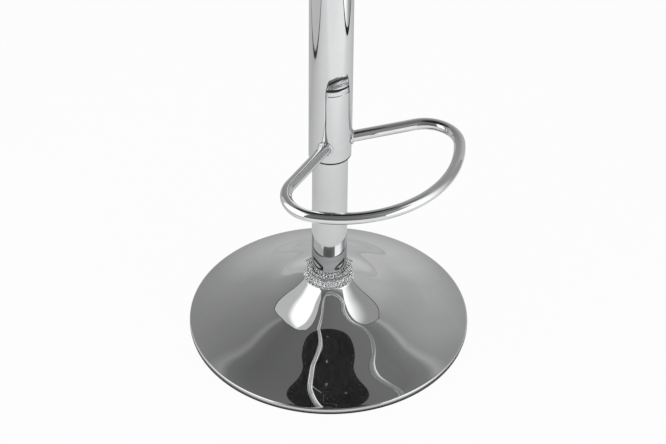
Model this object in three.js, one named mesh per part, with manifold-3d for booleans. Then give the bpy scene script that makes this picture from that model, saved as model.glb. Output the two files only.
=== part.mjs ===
// Gas-lift bar stool: a pressed trumpet base, a telescoping column with a hidden gas spring,
// a looped footrest, a release lever and a round padded seat that swivels.
// Millimetres, +Z up. The floor is z = 0, the column stands on the Z axis and the sitter's
// feet point along -Y. The stool is drawn at the top of its travel.
import * as THREE from 'three';
import { mergeVertices } from 'three/addons/utils/BufferGeometryUtils.js';
import Module from 'manifold-3d';

// Driving dimensions

// Fits and cuts shared by every piece
const GAP = 0.3;
const OVERRUN = 5;
const FACET_ERROR = 0.16;
const FEWEST_SIDES = 12;
const MOST_SIDES = 48;
const CORNER_STEPS = 3;

// Trumpet base
const BASE_RADIUS = 202.5;
const BASE_SHEET = 2;
const RIM_LIFT = 3;
const RIM_HEIGHT = 7.4;
const RIM_FILLET = 2.4;
const NECK_RADIUS = 36;
const NECK_HEIGHT = 87.5;
const NECK_FILLET = 1.2;
// Across from the rim to the neck, and up from the rim to the neck
const TRUMPET_SHARES = [
  [0, 0], [0.12, 0.072], [0.25, 0.148], [0.37, 0.222], [0.55, 0.349],
  [0.67, 0.45], [0.82, 0.632], [0.925, 0.79], [1, 1],
];
const TRUMPET_STEPS = 12;
const FLOOR_RING_WIDTH = 11;
const FLOOR_RING_TUCK = 5;
const SOCKET_WALL = 3.4;
const SOCKET_FOOT = 16;
const STIFFENER_HEIGHT = 22;
const STIFFENER_THICKNESS = 3;

// Clear ribbed collar on the neck
const COLLAR_HEIGHT = 17.2;
const COLLAR_FLANGE_RADIUS = 36.5;
const COLLAR_FLANGE_HEIGHT = 2.4;
const COLLAR_SLEEVE_WALL = 3.6;
const COLLAR_RING_WALL = 6;
const COLLAR_RING_HEIGHT = 5.2;
const COLLAR_MOUTH_DEPTH = 4;
const COLLAR_MOUTH_FLARE = 3;
const COLLAR_RIB_COUNT = 30;
const COLLAR_RIB_WIDTH = 2.6;
const COLLAR_RIB_REACH = 9;

// Outer tube of the gas lift
const LIFT_TRAVEL = 190;
const LIFT_TUBE_RADIUS = 25;
const LIFT_TUBE_WALL = 2;
const LIFT_TUBE_FOOT = 14;
const LIFT_FOOT_TAPER = 0.7;
const LIFT_LIP_WIDTH = 6;
const LIFT_LIP_HEIGHT = 2;
const LIFT_TUBE_ABOVE_HUB = 11;
const BOTTOM_PLATE_THICKNESS = 4;
const GUIDE_BUSH_LENGTH = 100;
const GUIDE_FLANGE_HEIGHT = 3;

// Rod, bearing and piston
const ROD_RADIUS = 5;
const ROD_FOOT_RADIUS = 4.5;
const ROD_FOOT_DROP = 3.5;
const ROD_TIP_RADIUS = 4;
const ROD_TIP_SPARE = 1;
const CLIP_RADIUS = 8;
const CLIP_GROOVE_RADIUS = 3;
const CLIP_THICKNESS = 1.2;
const CLIP_OPENING = 5;
const RACE_RADIUS = 13;
const RACE_THICKNESS = 1;
const CAGE_THICKNESS = 2;
const BALL_RADIUS = 1.3;
const BALL_COUNT = 10;
const BALL_SIDES = 8;
const BUMPER_RADIUS = 14;
const BUMPER_HEIGHT = 27.6;
const BUMPER_WAIST = 2;
const PISTON_HEIGHT = 14;
const SEAL_HEIGHT = 3.4;
const SEAL_DEPTH = 1.5;
const PISTON_NUT_RADIUS = 7.5;
const PISTON_NUT_HEIGHT = 4;

// Gas cylinder
const CYLINDER_RADIUS = 14;
const CYLINDER_WALL = 2.5;
const CYLINDER_BUMPER_CLEARANCE = 1.3;
const CYLINDER_STAND = 5.3;
const CYLINDER_LIP_HEIGHT = 2;
const CYLINDER_LIP_WIDTH = 6;
const CYLINDER_HEAD_HEIGHT = 6;
const CYLINDER_TAPER_LENGTH = 55;
const CYLINDER_TAPER = 0.8;
const GLAND_HEIGHT = 14.7;
const VALVE_HEIGHT = 22;
const PIN_RADIUS = 4;
const PIN_STAND = 8;
const PIN_DOME = 1;
const PIN_TAIL = 2;

// Cover tube with its notch
const COVER_WALL = 1.2;
const COVER_LENGTH = 396.7;
const COVER_CLEARANCE = 8;
const CAP_THICKNESS = 3;
const NOTCH_HEIGHT = 131;
const NOTCH_FLARE_START = 87;
const NOTCH_FLARE_RADIUS = 193;
const NOTCH_CORNER = 5;
const NOTCH_ROWS = 7;
const NOTCH_CORNER_ROWS = 3;
const NOTCH_COLUMNS = 10;
const NOTCH_LEFT_ANGLE = -53.3;
const NOTCH_RIGHT_ANGLE = 19.7;
const MOUTH_HALF_ANGLE = 74;

// Footrest hub and its glide bushes
const BUSH_WALL = 0.8;
const BUSH_LENGTH = 24;
const BUSH_LIP_HEIGHT = 2.2;
const BUSH_LIP_SET_IN = 0.76;
const BUSH_LIP_ABOVE_COVER = 3.5;
const HUB_WALL = 2.1;
const HUB_CHAMFER = 1.2;
const HUB_BELOW_NOTCH_TOP = 5;
const KEY_SET_IN = 0.6;
const KEY_DROP = 7.5;
const KEY_SIDE_GAP = 0.6;

// Footrest loop, in the horizontal plane of its tube's centre
const FOOTREST_HEIGHT_ABOVE_COVER = 31;
const FOOTREST_TUBE_RADIUS = 8;
const FOOTREST_TUBE_WALL = 1.5;
const FOOTREST_REACH = 184.6;
const FOOTREST_FRONT_RADIUS = 165;
const FOOTREST_CORNER_RADIUS = 46;
const FOOTREST_ARM_CROSSING = 8.7;
const FOOTREST_ARM_ANGLE = 68.9;
const FOOTREST_STEPS = 54;
const FOOTREST_SIDES = 14;
const FOOTREST_BORE_SIDES = 8;
const WELD_WIDTH = 2.3;
const WELD_HEIGHT = 3.4;
const WELD_WINDOW = 0.6;

// Seat plate, its socket and the release lever
const SEAT_PLATE_SIDE = 150;
const SEAT_PLATE_CORNER = 12;
const SEAT_PLATE_THICKNESS = 2.5;
const PAN_SIDE = 76;
const PAN_DEPTH = 31;
const SEAT_SOCKET_RADIUS = 19;
const SEAT_SOCKET_BELOW_PAN = 43;
const SEAT_SOCKET_IN_PAN = 7.5;
const LEVER_RADIUS = 4;
const LEVER_ARM = 27;
const LEVER_TIP_REACH = 6;
const LEVER_STRAIGHT = 50;
const LEVER_BEND = 16;
const LEVER_REACH = 178;
const LEVER_DROP = 27;
const LEVER_SIDES = 12;
const LEVER_STEPS = 10;
const LEVER_SWING_ROOM = 2.4;
const LEVER_BOSS_RADIUS = 6.5;
const PIVOT_RADIUS = 2.5;
const PIVOT_HEAD_RADIUS = 4;
const PIVOT_HEAD_HEIGHT = 1.5;
const EAR_OFFSET = 9;
const EAR_THICKNESS = 2.5;
const EAR_RISE = 6;
const EAR_INNER_REACH = 7;
const GRIP_LENGTH = 72;
const GRIP_RADIUS = 7;
const GRIP_SWELL = 1.4;
const GRIP_END_WALL = 6;

// Seat fixings
const BOLT_OFFSET = 60;
const BOLT_RADIUS = 3;
const BOLT_HEAD_RADIUS = 5.6;
const BOLT_HEAD_HEIGHT = 4;
const WASHER_RADIUS = 6.6;
const WASHER_THICKNESS = 1.2;
const TEE_NUT_RADIUS = 10;
const TEE_NUT_FLANGE = 1.2;
const TEE_NUT_BARREL_WALL = 1.6;
const TEE_NUT_BARREL_LENGTH = 9;

// Board and cushion
const BOARD_RADIUS = 183;
const BOARD_THICKNESS = 12;
const DUST_COVER_THICKNESS = 0.8;
const DUST_COVER_MARGIN = 4;
const CUSHION_RADIUS = 198;
const CUSHION_HEIGHT = 70;
const CUSHION_CROWN = 14;
const CUSHION_WALL = 7;
const CUSHION_UNDERCUT = 6;
// Out from the board's edge to the widest point, and up from the hem to the crown's edge
const CUSHION_SIDE_SHARES = [
  [0.45, 0.02], [0.82, 0.16], [1, 0.42], [0.97, 0.68], [0.74, 0.88], [0.2, 0.985],
];
const CUSHION_CROWN_STEPS = 6;

// Heights that follow from the driving dimensions

const coverRadius = LIFT_TUBE_RADIUS + GAP + BUSH_WALL + GAP + HUB_WALL + GAP + COVER_WALL;
const coverBore = coverRadius - COVER_WALL;
const hubRadius = coverBore - GAP;
const hubBore = hubRadius - HUB_WALL;
const keyRadius = coverRadius - KEY_SET_IN;
const liftBore = LIFT_TUBE_RADIUS - LIFT_TUBE_WALL;
const cylinderBore = CYLINDER_RADIUS - CYLINDER_WALL;

const collarFoot = NECK_HEIGHT + GAP;
const collarTop = collarFoot + COLLAR_HEIGHT;
const coverFoot = collarTop + COVER_CLEARANCE + LIFT_TRAVEL;
const coverTop = coverFoot + COVER_LENGTH;
const notchTop = coverFoot + NOTCH_HEIGHT;
const flareStart = coverFoot + NOTCH_FLARE_START;
const footrestHeight = coverFoot + FOOTREST_HEIGHT_ABOVE_COVER;
const hubFoot = coverFoot + BUSH_LIP_ABOVE_COVER + BUSH_LIP_HEIGHT + GAP;
const hubTop = notchTop - HUB_BELOW_NOTCH_TOP;
const keyTop = hubTop - KEY_DROP;
const liftTubeTop = hubTop + LIFT_TUBE_ABOVE_HUB;

const bottomPlateFoot = LIFT_TUBE_FOOT + LIFT_LIP_HEIGHT + GAP;
const lowerRaceFoot = bottomPlateFoot + BOTTOM_PLATE_THICKNESS + GAP;
const cageFoot = lowerRaceFoot + RACE_THICKNESS + GAP;
const cageHeight = 2 * BALL_RADIUS;
const upperRaceFoot = cageFoot + cageHeight + GAP;
const rodShoulder = upperRaceFoot + RACE_THICKNESS + GAP;
const bumperTop = rodShoulder + BUMPER_HEIGHT;

const cylinderFoot = bumperTop + CYLINDER_BUMPER_CLEARANCE + LIFT_TRAVEL;
const cylinderTop = coverTop + CYLINDER_STAND;
const cylinderLength = cylinderTop - cylinderFoot;
const glandFoot = cylinderFoot + CYLINDER_LIP_HEIGHT + GAP;
const pistonFoot = glandFoot + GLAND_HEIGHT + GAP;
const pinTop = cylinderTop + PIN_STAND;
const leverHeight = pinTop + GAP + LEVER_RADIUS;

const panFoot = coverTop + GAP;
const seatPlateTop = panFoot + PAN_DEPTH + SEAT_PLATE_THICKNESS;
const boardFoot = seatPlateTop + GAP;
const boardTop = boardFoot + BOARD_THICKNESS;

// Finishes

function finish(color, roughness, metalness, extra = {}) {
  return new THREE.MeshStandardMaterial({ color, roughness, metalness, ...extra });
}
const chrome = finish(0xd4d6d8, 0.08, 1);
const steel = finish(0x9fa3a7, 0.35, 1);
const blackPaint = finish(0x1c1c1e, 0.5, 0.2);
const blackPlastic = finish(0x161617, 0.45, 0);
const clearPlastic = finish(0xe9edf0, 0.1, 0, { transparent: true, opacity: 0.4 });
const rubber = finish(0x111112, 0.8, 0);
const plywood = finish(0xb58e5f, 0.7, 0);
const leatherette = finish(0x18181a, 0.5, 0);
const dustCloth = finish(0x222224, 0.95, 0);

// Geometry helpers

const wasm = await Module();
wasm.setup();

const turn = (degrees) => THREE.MathUtils.degToRad(degrees);

// How many flats keep a circle within the facet error
function sidesFor(radius) {
  const halfStep = Math.acos(1 - Math.min(FACET_ERROR / radius, 0.5));
  const sides = 4 * Math.ceil(Math.PI / halfStep / 4);
  return THREE.MathUtils.clamp(sides, FEWEST_SIDES, MOST_SIDES);
}

// Merges shared corners, drops collapsed triangles and turns the faces outwards
function closed(geometry) {
  const bare = geometry.clone();
  bare.deleteAttribute('normal');
  bare.deleteAttribute('uv');
  const merged = mergeVertices(bare);
  const position = merged.getAttribute('position');
  const source = merged.index.array;
  const kept = [];
  for (let i = 0; i < source.length; i += 3) {
    const [a, b, c] = [source[i], source[i + 1], source[i + 2]];
    if (a !== b && b !== c && c !== a) kept.push(a, b, c);
  }
  let volume = 0;
  const [p, q, r] = [new THREE.Vector3(), new THREE.Vector3(), new THREE.Vector3()];
  for (let i = 0; i < kept.length; i += 3) {
    p.fromBufferAttribute(position, kept[i]);
    q.fromBufferAttribute(position, kept[i + 1]);
    r.fromBufferAttribute(position, kept[i + 2]);
    volume += p.dot(q.cross(r));
  }
  if (volume < 0) kept.reverse();
  merged.setIndex(kept);
  return merged;
}

function toSolid(geometry) {
  const mesh = closed(geometry);
  return new wasm.Manifold(new wasm.Mesh({
    numProp: 3,
    vertProperties: Float32Array.from(mesh.getAttribute('position').array),
    triVerts: Uint32Array.from(mesh.index.array),
  }));
}

function fromSolid(solid) {
  const mesh = solid.getMesh();
  const geometry = new THREE.BufferGeometry();
  geometry.setAttribute('position', new THREE.BufferAttribute(mesh.vertProperties, 3));
  geometry.setIndex(new THREE.BufferAttribute(mesh.triVerts, 1));
  return geometry;
}

// A body of revolution about Z; each profile point is [radius, height]
function turned(profile, sides = sidesFor(Math.max(...profile.map(([radius]) => radius)))) {
  const points = profile.map(([radius, height]) => new THREE.Vector2(radius, height));
  const endsOnAxis = profile[0][0] === 0 && profile[profile.length - 1][0] === 0;
  if (!endsOnAxis) points.push(points[0].clone());
  return closed(new THREE.LatheGeometry(points, sides).rotateX(Math.PI / 2));
}

function ring(bore, radius, height, foot = 0) {
  return turned([[bore, foot], [radius, foot], [radius, foot + height], [bore, foot + height]]);
}

function rod(radius, height, foot = 0) {
  return turned([[0, foot], [radius, foot], [radius, foot + height], [0, foot + height]]);
}

function plate(shape, thickness) {
  const options = { depth: thickness, bevelEnabled: false, curveSegments: CORNER_STEPS };
  return closed(new THREE.ExtrudeGeometry(shape, options));
}

function box(width, depth, height, x = 0, y = 0, z = 0) {
  return new THREE.BoxGeometry(width, depth, height).translate(x, y, z + height / 2);
}

// A flat outline lifted into space, for tubes that lie in one plane
class FlatCurve extends THREE.Curve {
  constructor(path) {
    super();
    this.path = path;
  }

  getPoint(t, target = new THREE.Vector3()) {
    const point = this.path.getPoint(t);
    return target.set(point.x, point.y, 0);
  }
}

function circlePoints(radius, sides) {
  return Array.from({ length: sides }, (_, i) => {
    const angle = (2 * Math.PI * i) / sides;
    return new THREE.Vector2(radius * Math.cos(angle), radius * Math.sin(angle));
  });
}

function bentTube(path, radius, bore, sides, boreSides, steps) {
  const section = new THREE.Shape(circlePoints(radius, sides));
  if (bore > 0) section.holes.push(new THREE.Path(circlePoints(bore, boreSides)));
  return closed(new THREE.ExtrudeGeometry(section, { extrudePath: new FlatCurve(path), steps }));
}

// A block bent round the column. Each row is [height, left angle, right angle] in degrees
// from the front of the stool, growing towards +X.
function wrappedBlock(rows, innerRadius, outerRadius, columns) {
  const positions = [];
  const corner = (row, column, radius) => {
    const [height, left, right] = rows[row];
    const angle = turn(left + ((right - left) * column) / columns);
    positions.push(radius * Math.sin(angle), -radius * Math.cos(angle), height);
  };
  const quad = (a, b, c, d) => [a, b, c, a, c, d].forEach((key) => corner(...key));
  for (let row = 0; row < rows.length - 1; row += 1) {
    for (let column = 0; column < columns; column += 1) {
      const cell = [[row, column], [row, column + 1], [row + 1, column + 1], [row + 1, column]];
      quad(...cell.map((key) => [...key, outerRadius]));
      quad(...cell.map((key) => [...key, innerRadius]).reverse());
    }
    for (const column of [0, columns]) {
      const side = [
        [row, column, innerRadius], [row, column, outerRadius],
        [row + 1, column, outerRadius], [row + 1, column, innerRadius],
      ];
      quad(...(column === 0 ? side : side.reverse()));
    }
  }
  for (const row of [0, rows.length - 1]) {
    for (let column = 0; column < columns; column += 1) {
      const end = [
        [row, column, innerRadius], [row, column + 1, innerRadius],
        [row, column + 1, outerRadius], [row, column, outerRadius],
      ];
      quad(...(row === 0 ? end : end.reverse()));
    }
  }
  const geometry = new THREE.BufferGeometry();
  geometry.setAttribute('position', new THREE.Float32BufferAttribute(positions, 3));
  return closed(geometry);
}

// Base

// The outer face of the trumpet as points from the rim to the neck
function trumpetCurve() {
  const foot = RIM_LIFT + RIM_HEIGHT;
  const edge = BASE_RADIUS - RIM_FILLET;
  return new THREE.SplineCurve(TRUMPET_SHARES.map(([across, up]) => new THREE.Vector2(
    edge + (NECK_RADIUS - edge) * across,
    foot + (NECK_HEIGHT - NECK_FILLET - foot) * up,
  )));
}

function trumpetOuterFace() {
  const face = [[BASE_RADIUS, RIM_LIFT]];
  const filletFoot = RIM_LIFT + RIM_HEIGHT - RIM_FILLET;
  for (const angle of [0, 30, 60]) {
    face.push([
      BASE_RADIUS - RIM_FILLET * (1 - Math.cos(turn(angle))),
      filletFoot + RIM_FILLET * Math.sin(turn(angle)),
    ]);
  }
  trumpetCurve().getPoints(TRUMPET_STEPS).forEach((point) => face.push([point.x, point.y]));
  face.push([NECK_RADIUS - NECK_FILLET, NECK_HEIGHT]);
  face.push([LIFT_TUBE_RADIUS + GAP, NECK_HEIGHT]);
  return face;
}

// The inner face lies one sheet thickness behind the outer one, with half as many points
function trumpetInnerFace() {
  const face = [[BASE_RADIUS - BASE_SHEET, RIM_LIFT]];
  const curve = trumpetCurve();
  const filletFoot = RIM_LIFT + RIM_HEIGHT - RIM_FILLET;
  face.push([BASE_RADIUS - BASE_SHEET, filletFoot]);
  for (let i = 0; i <= TRUMPET_STEPS; i += 2) {
    const point = curve.getPoint(i / TRUMPET_STEPS);
    const tangent = curve.getTangent(i / TRUMPET_STEPS);
    face.push([point.x - BASE_SHEET * tangent.y, point.y + BASE_SHEET * tangent.x]);
  }
  const inside = NECK_HEIGHT - BASE_SHEET;
  return [...face, [NECK_RADIUS - 2 * BASE_SHEET, inside], [LIFT_TUBE_RADIUS + GAP, inside]];
}

function baseShell() {
  return turned([...trumpetOuterFace(), ...trumpetInnerFace().reverse()]);
}

function baseFloorRing() {
  const radius = BASE_RADIUS - BASE_SHEET - GAP;
  return ring(radius - FLOOR_RING_WIDTH, radius, RIM_LIFT + FLOOR_RING_TUCK - GAP);
}

// The lift's foot and the socket share one slow taper
function liftFootRadius(height) {
  const top = NECK_HEIGHT - BASE_SHEET;
  const share = THREE.MathUtils.clamp((top - height) / (top - LIFT_TUBE_FOOT), 0, 1);
  return LIFT_TUBE_RADIUS - LIFT_FOOT_TAPER * share;
}

function baseSocket() {
  const top = NECK_HEIGHT - BASE_SHEET - GAP;
  const radius = LIFT_TUBE_RADIUS + GAP + SOCKET_WALL;
  return turned([
    [liftFootRadius(SOCKET_FOOT) + GAP, SOCKET_FOOT], [radius, SOCKET_FOOT],
    [radius, top], [liftFootRadius(top) + GAP, top],
  ]);
}

// A flat plate that braces the socket's foot against the inside of the trumpet
function baseStiffenerPlate() {
  const inner = trumpetInnerFace();
  const top = STIFFENER_HEIGHT + STIFFENER_THICKNESS;
  const reach = inner.filter(([, height]) => height > top + GAP).map(([radius]) => radius);
  const next = inner.filter(([, height]) => height <= top + GAP).pop();
  const last = inner[inner.indexOf(next) + 1];
  const share = (top + GAP - next[1]) / (last[1] - next[1]);
  const edge = Math.max(...reach, next[0] + (last[0] - next[0]) * share) - GAP;
  return ring(LIFT_TUBE_RADIUS + GAP + SOCKET_WALL + GAP, edge, STIFFENER_THICKNESS);
}

function scuffCollar() {
  const bore = LIFT_TUBE_RADIUS + GAP;
  const sleeve = bore + COLLAR_SLEEVE_WALL;
  const crown = bore + COLLAR_RING_WALL;
  const ringFoot = COLLAR_HEIGHT - COLLAR_RING_HEIGHT;
  const mouthFoot = COLLAR_HEIGHT - COLLAR_MOUTH_DEPTH;
  let solid = toSolid(turned([
    [bore, 0], [COLLAR_FLANGE_RADIUS, 0], [COLLAR_FLANGE_RADIUS, COLLAR_FLANGE_HEIGHT],
    [sleeve, COLLAR_FLANGE_HEIGHT], [sleeve, ringFoot], [crown, ringFoot],
    [crown, COLLAR_HEIGHT], [bore + COLLAR_MOUTH_FLARE, COLLAR_HEIGHT], [bore, mouthFoot],
  ]));
  const ribHeight = ringFoot;
  const ribLength = COLLAR_RIB_REACH - COLLAR_SLEEVE_WALL / 2;
  const rib = box(ribLength, COLLAR_RIB_WIDTH, ribHeight, bore + COLLAR_RIB_REACH - ribLength / 2, 0, 0);
  rib.translate(0, 0, COLLAR_FLANGE_HEIGHT / 2);
  for (let i = 0; i < COLLAR_RIB_COUNT; i += 1) {
    solid = solid.add(toSolid(rib.clone().rotateZ(turn((360 * i) / COLLAR_RIB_COUNT))));
  }
  return fromSolid(solid);
}

// Gas lift, fixed half

function liftOuterTube() {
  const lipBore = liftFootRadius(LIFT_TUBE_FOOT) - LIFT_LIP_WIDTH;
  const boreFoot = liftFootRadius(LIFT_TUBE_FOOT) - LIFT_TUBE_WALL;
  const taperTop = NECK_HEIGHT - BASE_SHEET;
  return turned([
    [lipBore, LIFT_TUBE_FOOT], [liftFootRadius(LIFT_TUBE_FOOT), LIFT_TUBE_FOOT],
    [LIFT_TUBE_RADIUS, taperTop], [LIFT_TUBE_RADIUS, liftTubeTop],
    [liftBore, liftTubeTop], [liftBore, taperTop],
    [boreFoot, LIFT_TUBE_FOOT + LIFT_LIP_HEIGHT], [lipBore, LIFT_TUBE_FOOT + LIFT_LIP_HEIGHT],
  ]);
}

function liftBottomPlate() {
  const radius = liftFootRadius(LIFT_TUBE_FOOT) - LIFT_TUBE_WALL - GAP;
  return ring(ROD_FOOT_RADIUS + GAP, radius, BOTTOM_PLATE_THICKNESS);
}

function liftGuideBush() {
  const bore = CYLINDER_RADIUS + GAP;
  const body = liftBore - GAP;
  const flange = LIFT_TUBE_RADIUS - GAP;
  const shoulder = GUIDE_BUSH_LENGTH + GAP;
  return turned([
    [bore, 0], [body, 0], [body, shoulder], [flange, shoulder],
    [flange, shoulder + GUIDE_FLANGE_HEIGHT], [bore, shoulder + GUIDE_FLANGE_HEIGHT],
  ]);
}

// Gas lift, rod and bearing

function bearingRace() {
  return ring(ROD_FOOT_RADIUS + GAP, RACE_RADIUS, RACE_THICKNESS);
}

function bearingBallCage() {
  const bore = ROD_FOOT_RADIUS + GAP;
  const foot = (cageHeight - CAGE_THICKNESS) / 2;
  let solid = toSolid(ring(bore, RACE_RADIUS, CAGE_THICKNESS, foot));
  const ball = new THREE.SphereGeometry(BALL_RADIUS, BALL_SIDES, BALL_SIDES / 2).rotateX(Math.PI / 2);
  ball.translate((bore + RACE_RADIUS) / 2, 0, cageHeight / 2);
  for (let i = 0; i < BALL_COUNT; i += 1) {
    solid = solid.add(toSolid(ball.clone().rotateZ(turn((360 * i) / BALL_COUNT))));
  }
  return fromSolid(solid);
}

function pistonRod() {
  const grooveTop = bottomPlateFoot;
  const grooveFoot = grooveTop - CLIP_THICKNESS - 2 * GAP;
  const foot = grooveFoot - ROD_FOOT_DROP;
  const tip = pistonFoot + PISTON_HEIGHT + GAP + PISTON_NUT_HEIGHT + ROD_TIP_SPARE;
  return turned([
    [0, foot], [ROD_FOOT_RADIUS, foot], [ROD_FOOT_RADIUS, grooveFoot],
    [CLIP_GROOVE_RADIUS, grooveFoot], [CLIP_GROOVE_RADIUS, grooveTop],
    [ROD_FOOT_RADIUS, grooveTop], [ROD_FOOT_RADIUS, rodShoulder], [ROD_RADIUS, rodShoulder],
    [ROD_RADIUS, pistonFoot - GAP], [ROD_TIP_RADIUS, pistonFoot - GAP],
    [ROD_TIP_RADIUS, tip], [0, tip],
  ]);
}

// A spring clip that snaps into the rod's groove, open on one side
function rodRetainingClip() {
  const full = toSolid(ring(CLIP_GROOVE_RADIUS + GAP, CLIP_RADIUS, CLIP_THICKNESS));
  const opening = box(CLIP_RADIUS + OVERRUN, CLIP_OPENING, CLIP_THICKNESS + 2 * OVERRUN);
  opening.translate((CLIP_RADIUS + OVERRUN) / 2, 0, -OVERRUN);
  return fromSolid(full.subtract(toSolid(opening)));
}

function liftBumper() {
  const bore = ROD_RADIUS + GAP;
  const waist = BUMPER_RADIUS - BUMPER_WAIST;
  return turned([
    [bore, 0], [BUMPER_RADIUS, 0], [BUMPER_RADIUS, BUMPER_HEIGHT / 4],
    [waist, BUMPER_HEIGHT / 2], [BUMPER_RADIUS, BUMPER_HEIGHT * 3 / 4],
    [BUMPER_RADIUS, BUMPER_HEIGHT - GAP], [bore, BUMPER_HEIGHT - GAP],
  ]);
}

function piston() {
  const bore = ROD_TIP_RADIUS + GAP;
  const radius = cylinderBore - GAP;
  const groove = radius - SEAL_DEPTH;
  const grooveFoot = (PISTON_HEIGHT - SEAL_HEIGHT) / 2 - GAP;
  const grooveTop = grooveFoot + SEAL_HEIGHT + 2 * GAP;
  return turned([
    [bore, 0], [radius, 0], [radius, grooveFoot], [groove, grooveFoot],
    [groove, grooveTop], [radius, grooveTop], [radius, PISTON_HEIGHT], [bore, PISTON_HEIGHT],
  ]);
}

function pistonSeal() {
  const radius = cylinderBore - GAP;
  return ring(radius - SEAL_DEPTH + GAP, radius, SEAL_HEIGHT);
}

function pistonNut() {
  const hexagon = new THREE.Shape(circlePoints(PISTON_NUT_RADIUS, 6));
  const thread = circlePoints(ROD_TIP_RADIUS + GAP, sidesFor(ROD_TIP_RADIUS));
  hexagon.holes.push(new THREE.Path(thread));
  return plate(hexagon, PISTON_NUT_HEIGHT);
}

// Gas lift, moving half

// The top of the cylinder tapers so that the seat's socket jams onto it
function cylinderRadiusAt(height) {
  const share = (height - (cylinderTop - CYLINDER_TAPER_LENGTH)) / CYLINDER_TAPER_LENGTH;
  return CYLINDER_RADIUS - CYLINDER_TAPER * THREE.MathUtils.clamp(share, 0, 1);
}

function gasCylinder() {
  const lipBore = CYLINDER_RADIUS - CYLINDER_LIP_WIDTH;
  const headFoot = cylinderLength - CYLINDER_HEAD_HEIGHT;
  const pinBore = PIN_RADIUS + GAP;
  return turned([
    [lipBore, 0], [CYLINDER_RADIUS, 0], [CYLINDER_RADIUS, cylinderLength - CYLINDER_TAPER_LENGTH],
    [CYLINDER_RADIUS - CYLINDER_TAPER, cylinderLength], [pinBore, cylinderLength],
    [pinBore, headFoot], [cylinderBore, headFoot], [cylinderBore, CYLINDER_LIP_HEIGHT],
    [lipBore, CYLINDER_LIP_HEIGHT],
  ]);
}

function releasePin() {
  const foot = cylinderTop - CYLINDER_HEAD_HEIGHT - GAP - VALVE_HEIGHT + PIN_TAIL;
  return turned([
    [0, foot], [PIN_RADIUS, foot], [PIN_RADIUS, pinTop - PIN_DOME],
    [PIN_RADIUS / 2, pinTop - PIN_DOME / 4], [0, pinTop],
  ]);
}

// Cover tube

// Each flared side of the notch follows one long arc below the flare's start
function flareAngle(height) {
  const drop = Math.max(flareStart - height, 0);
  const sweep = NOTCH_FLARE_RADIUS - Math.sqrt(NOTCH_FLARE_RADIUS ** 2 - drop ** 2);
  return THREE.MathUtils.radToDeg(sweep / coverRadius);
}

function notchEdges(height) {
  const flare = flareAngle(height);
  const intoCorner = Math.max(height - (notchTop - NOTCH_CORNER), 0);
  const cornerWidth = NOTCH_CORNER - Math.sqrt(NOTCH_CORNER ** 2 - intoCorner ** 2);
  const corner = THREE.MathUtils.radToDeg(cornerWidth / coverRadius);
  return [NOTCH_LEFT_ANGLE - flare + corner, NOTCH_RIGHT_ANGLE + flare - corner];
}

function notchHeights(foot, top) {
  const straightTop = notchTop - NOTCH_CORNER;
  const heights = [];
  for (let i = 0; i <= NOTCH_ROWS; i += 1) {
    heights.push(foot + ((Math.min(flareStart, top) - foot) * i) / NOTCH_ROWS);
  }
  for (let i = 0; i <= NOTCH_CORNER_ROWS; i += 1) {
    heights.push(straightTop + NOTCH_CORNER * Math.sin(turn((90 * i) / NOTCH_CORNER_ROWS)));
  }
  return heights.filter((height) => height < top).concat(top);
}

// The footrest arms leave the hub in its plane; side is 1 towards +X and -1 towards -X
function armLine(side) {
  const along = new THREE.Vector2(
    side * Math.sin(turn(FOOTREST_ARM_ANGLE)),
    -Math.cos(turn(FOOTREST_ARM_ANGLE)),
  );
  return { start: new THREE.Vector2(0, -FOOTREST_ARM_CROSSING), along };
}

// Where an arm's centre line comes out of the hub
function armRoot(side, radius) {
  const { start, along } = armLine(side);
  const back = start.dot(along);
  const run = -back + Math.sqrt(back ** 2 - start.lengthSq() + radius ** 2);
  return start.clone().addScaledVector(along, run);
}

function alongArm(geometry, side) {
  const { along } = armLine(side);
  const root = armRoot(side, keyRadius);
  geometry.rotateX(Math.PI / 2).rotateZ(Math.atan2(along.y, along.x) + Math.PI / 2);
  return geometry.translate(root.x, root.y, footrestHeight);
}

function coverTube() {
  const tube = toSolid(ring(coverBore, coverRadius, COVER_LENGTH, coverFoot));
  const rows = notchHeights(footrestHeight, notchTop).map((z) => [z, ...notchEdges(z)]);
  const [inner, outer] = [coverBore - OVERRUN, coverRadius + OVERRUN];
  const notch = wrappedBlock(rows, inner, outer, NOTCH_COLUMNS);
  const mouthRows = [coverFoot - OVERRUN, footrestHeight].map(
    (z) => [z, -MOUTH_HALF_ANGLE, MOUTH_HALF_ANGLE],
  );
  const mouth = wrappedBlock(mouthRows, inner, outer, NOTCH_COLUMNS);
  let solid = tube.subtract(toSolid(notch)).subtract(toSolid(mouth));
  const windowRadius = FOOTREST_TUBE_RADIUS + GAP + WELD_WIDTH + WELD_WINDOW;
  for (const side of [-1, 1]) {
    const window = rod(windowRadius, 4 * OVERRUN, -2 * OVERRUN);
    solid = solid.subtract(toSolid(alongArm(window, side)));
  }
  return fromSolid(solid);
}

function coverTubeCap() {
  return ring(CYLINDER_RADIUS + GAP, coverBore - GAP, CAP_THICKNESS);
}

// Footrest hub

function sideInset() {
  return THREE.MathUtils.radToDeg(KEY_SIDE_GAP / coverRadius);
}

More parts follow.
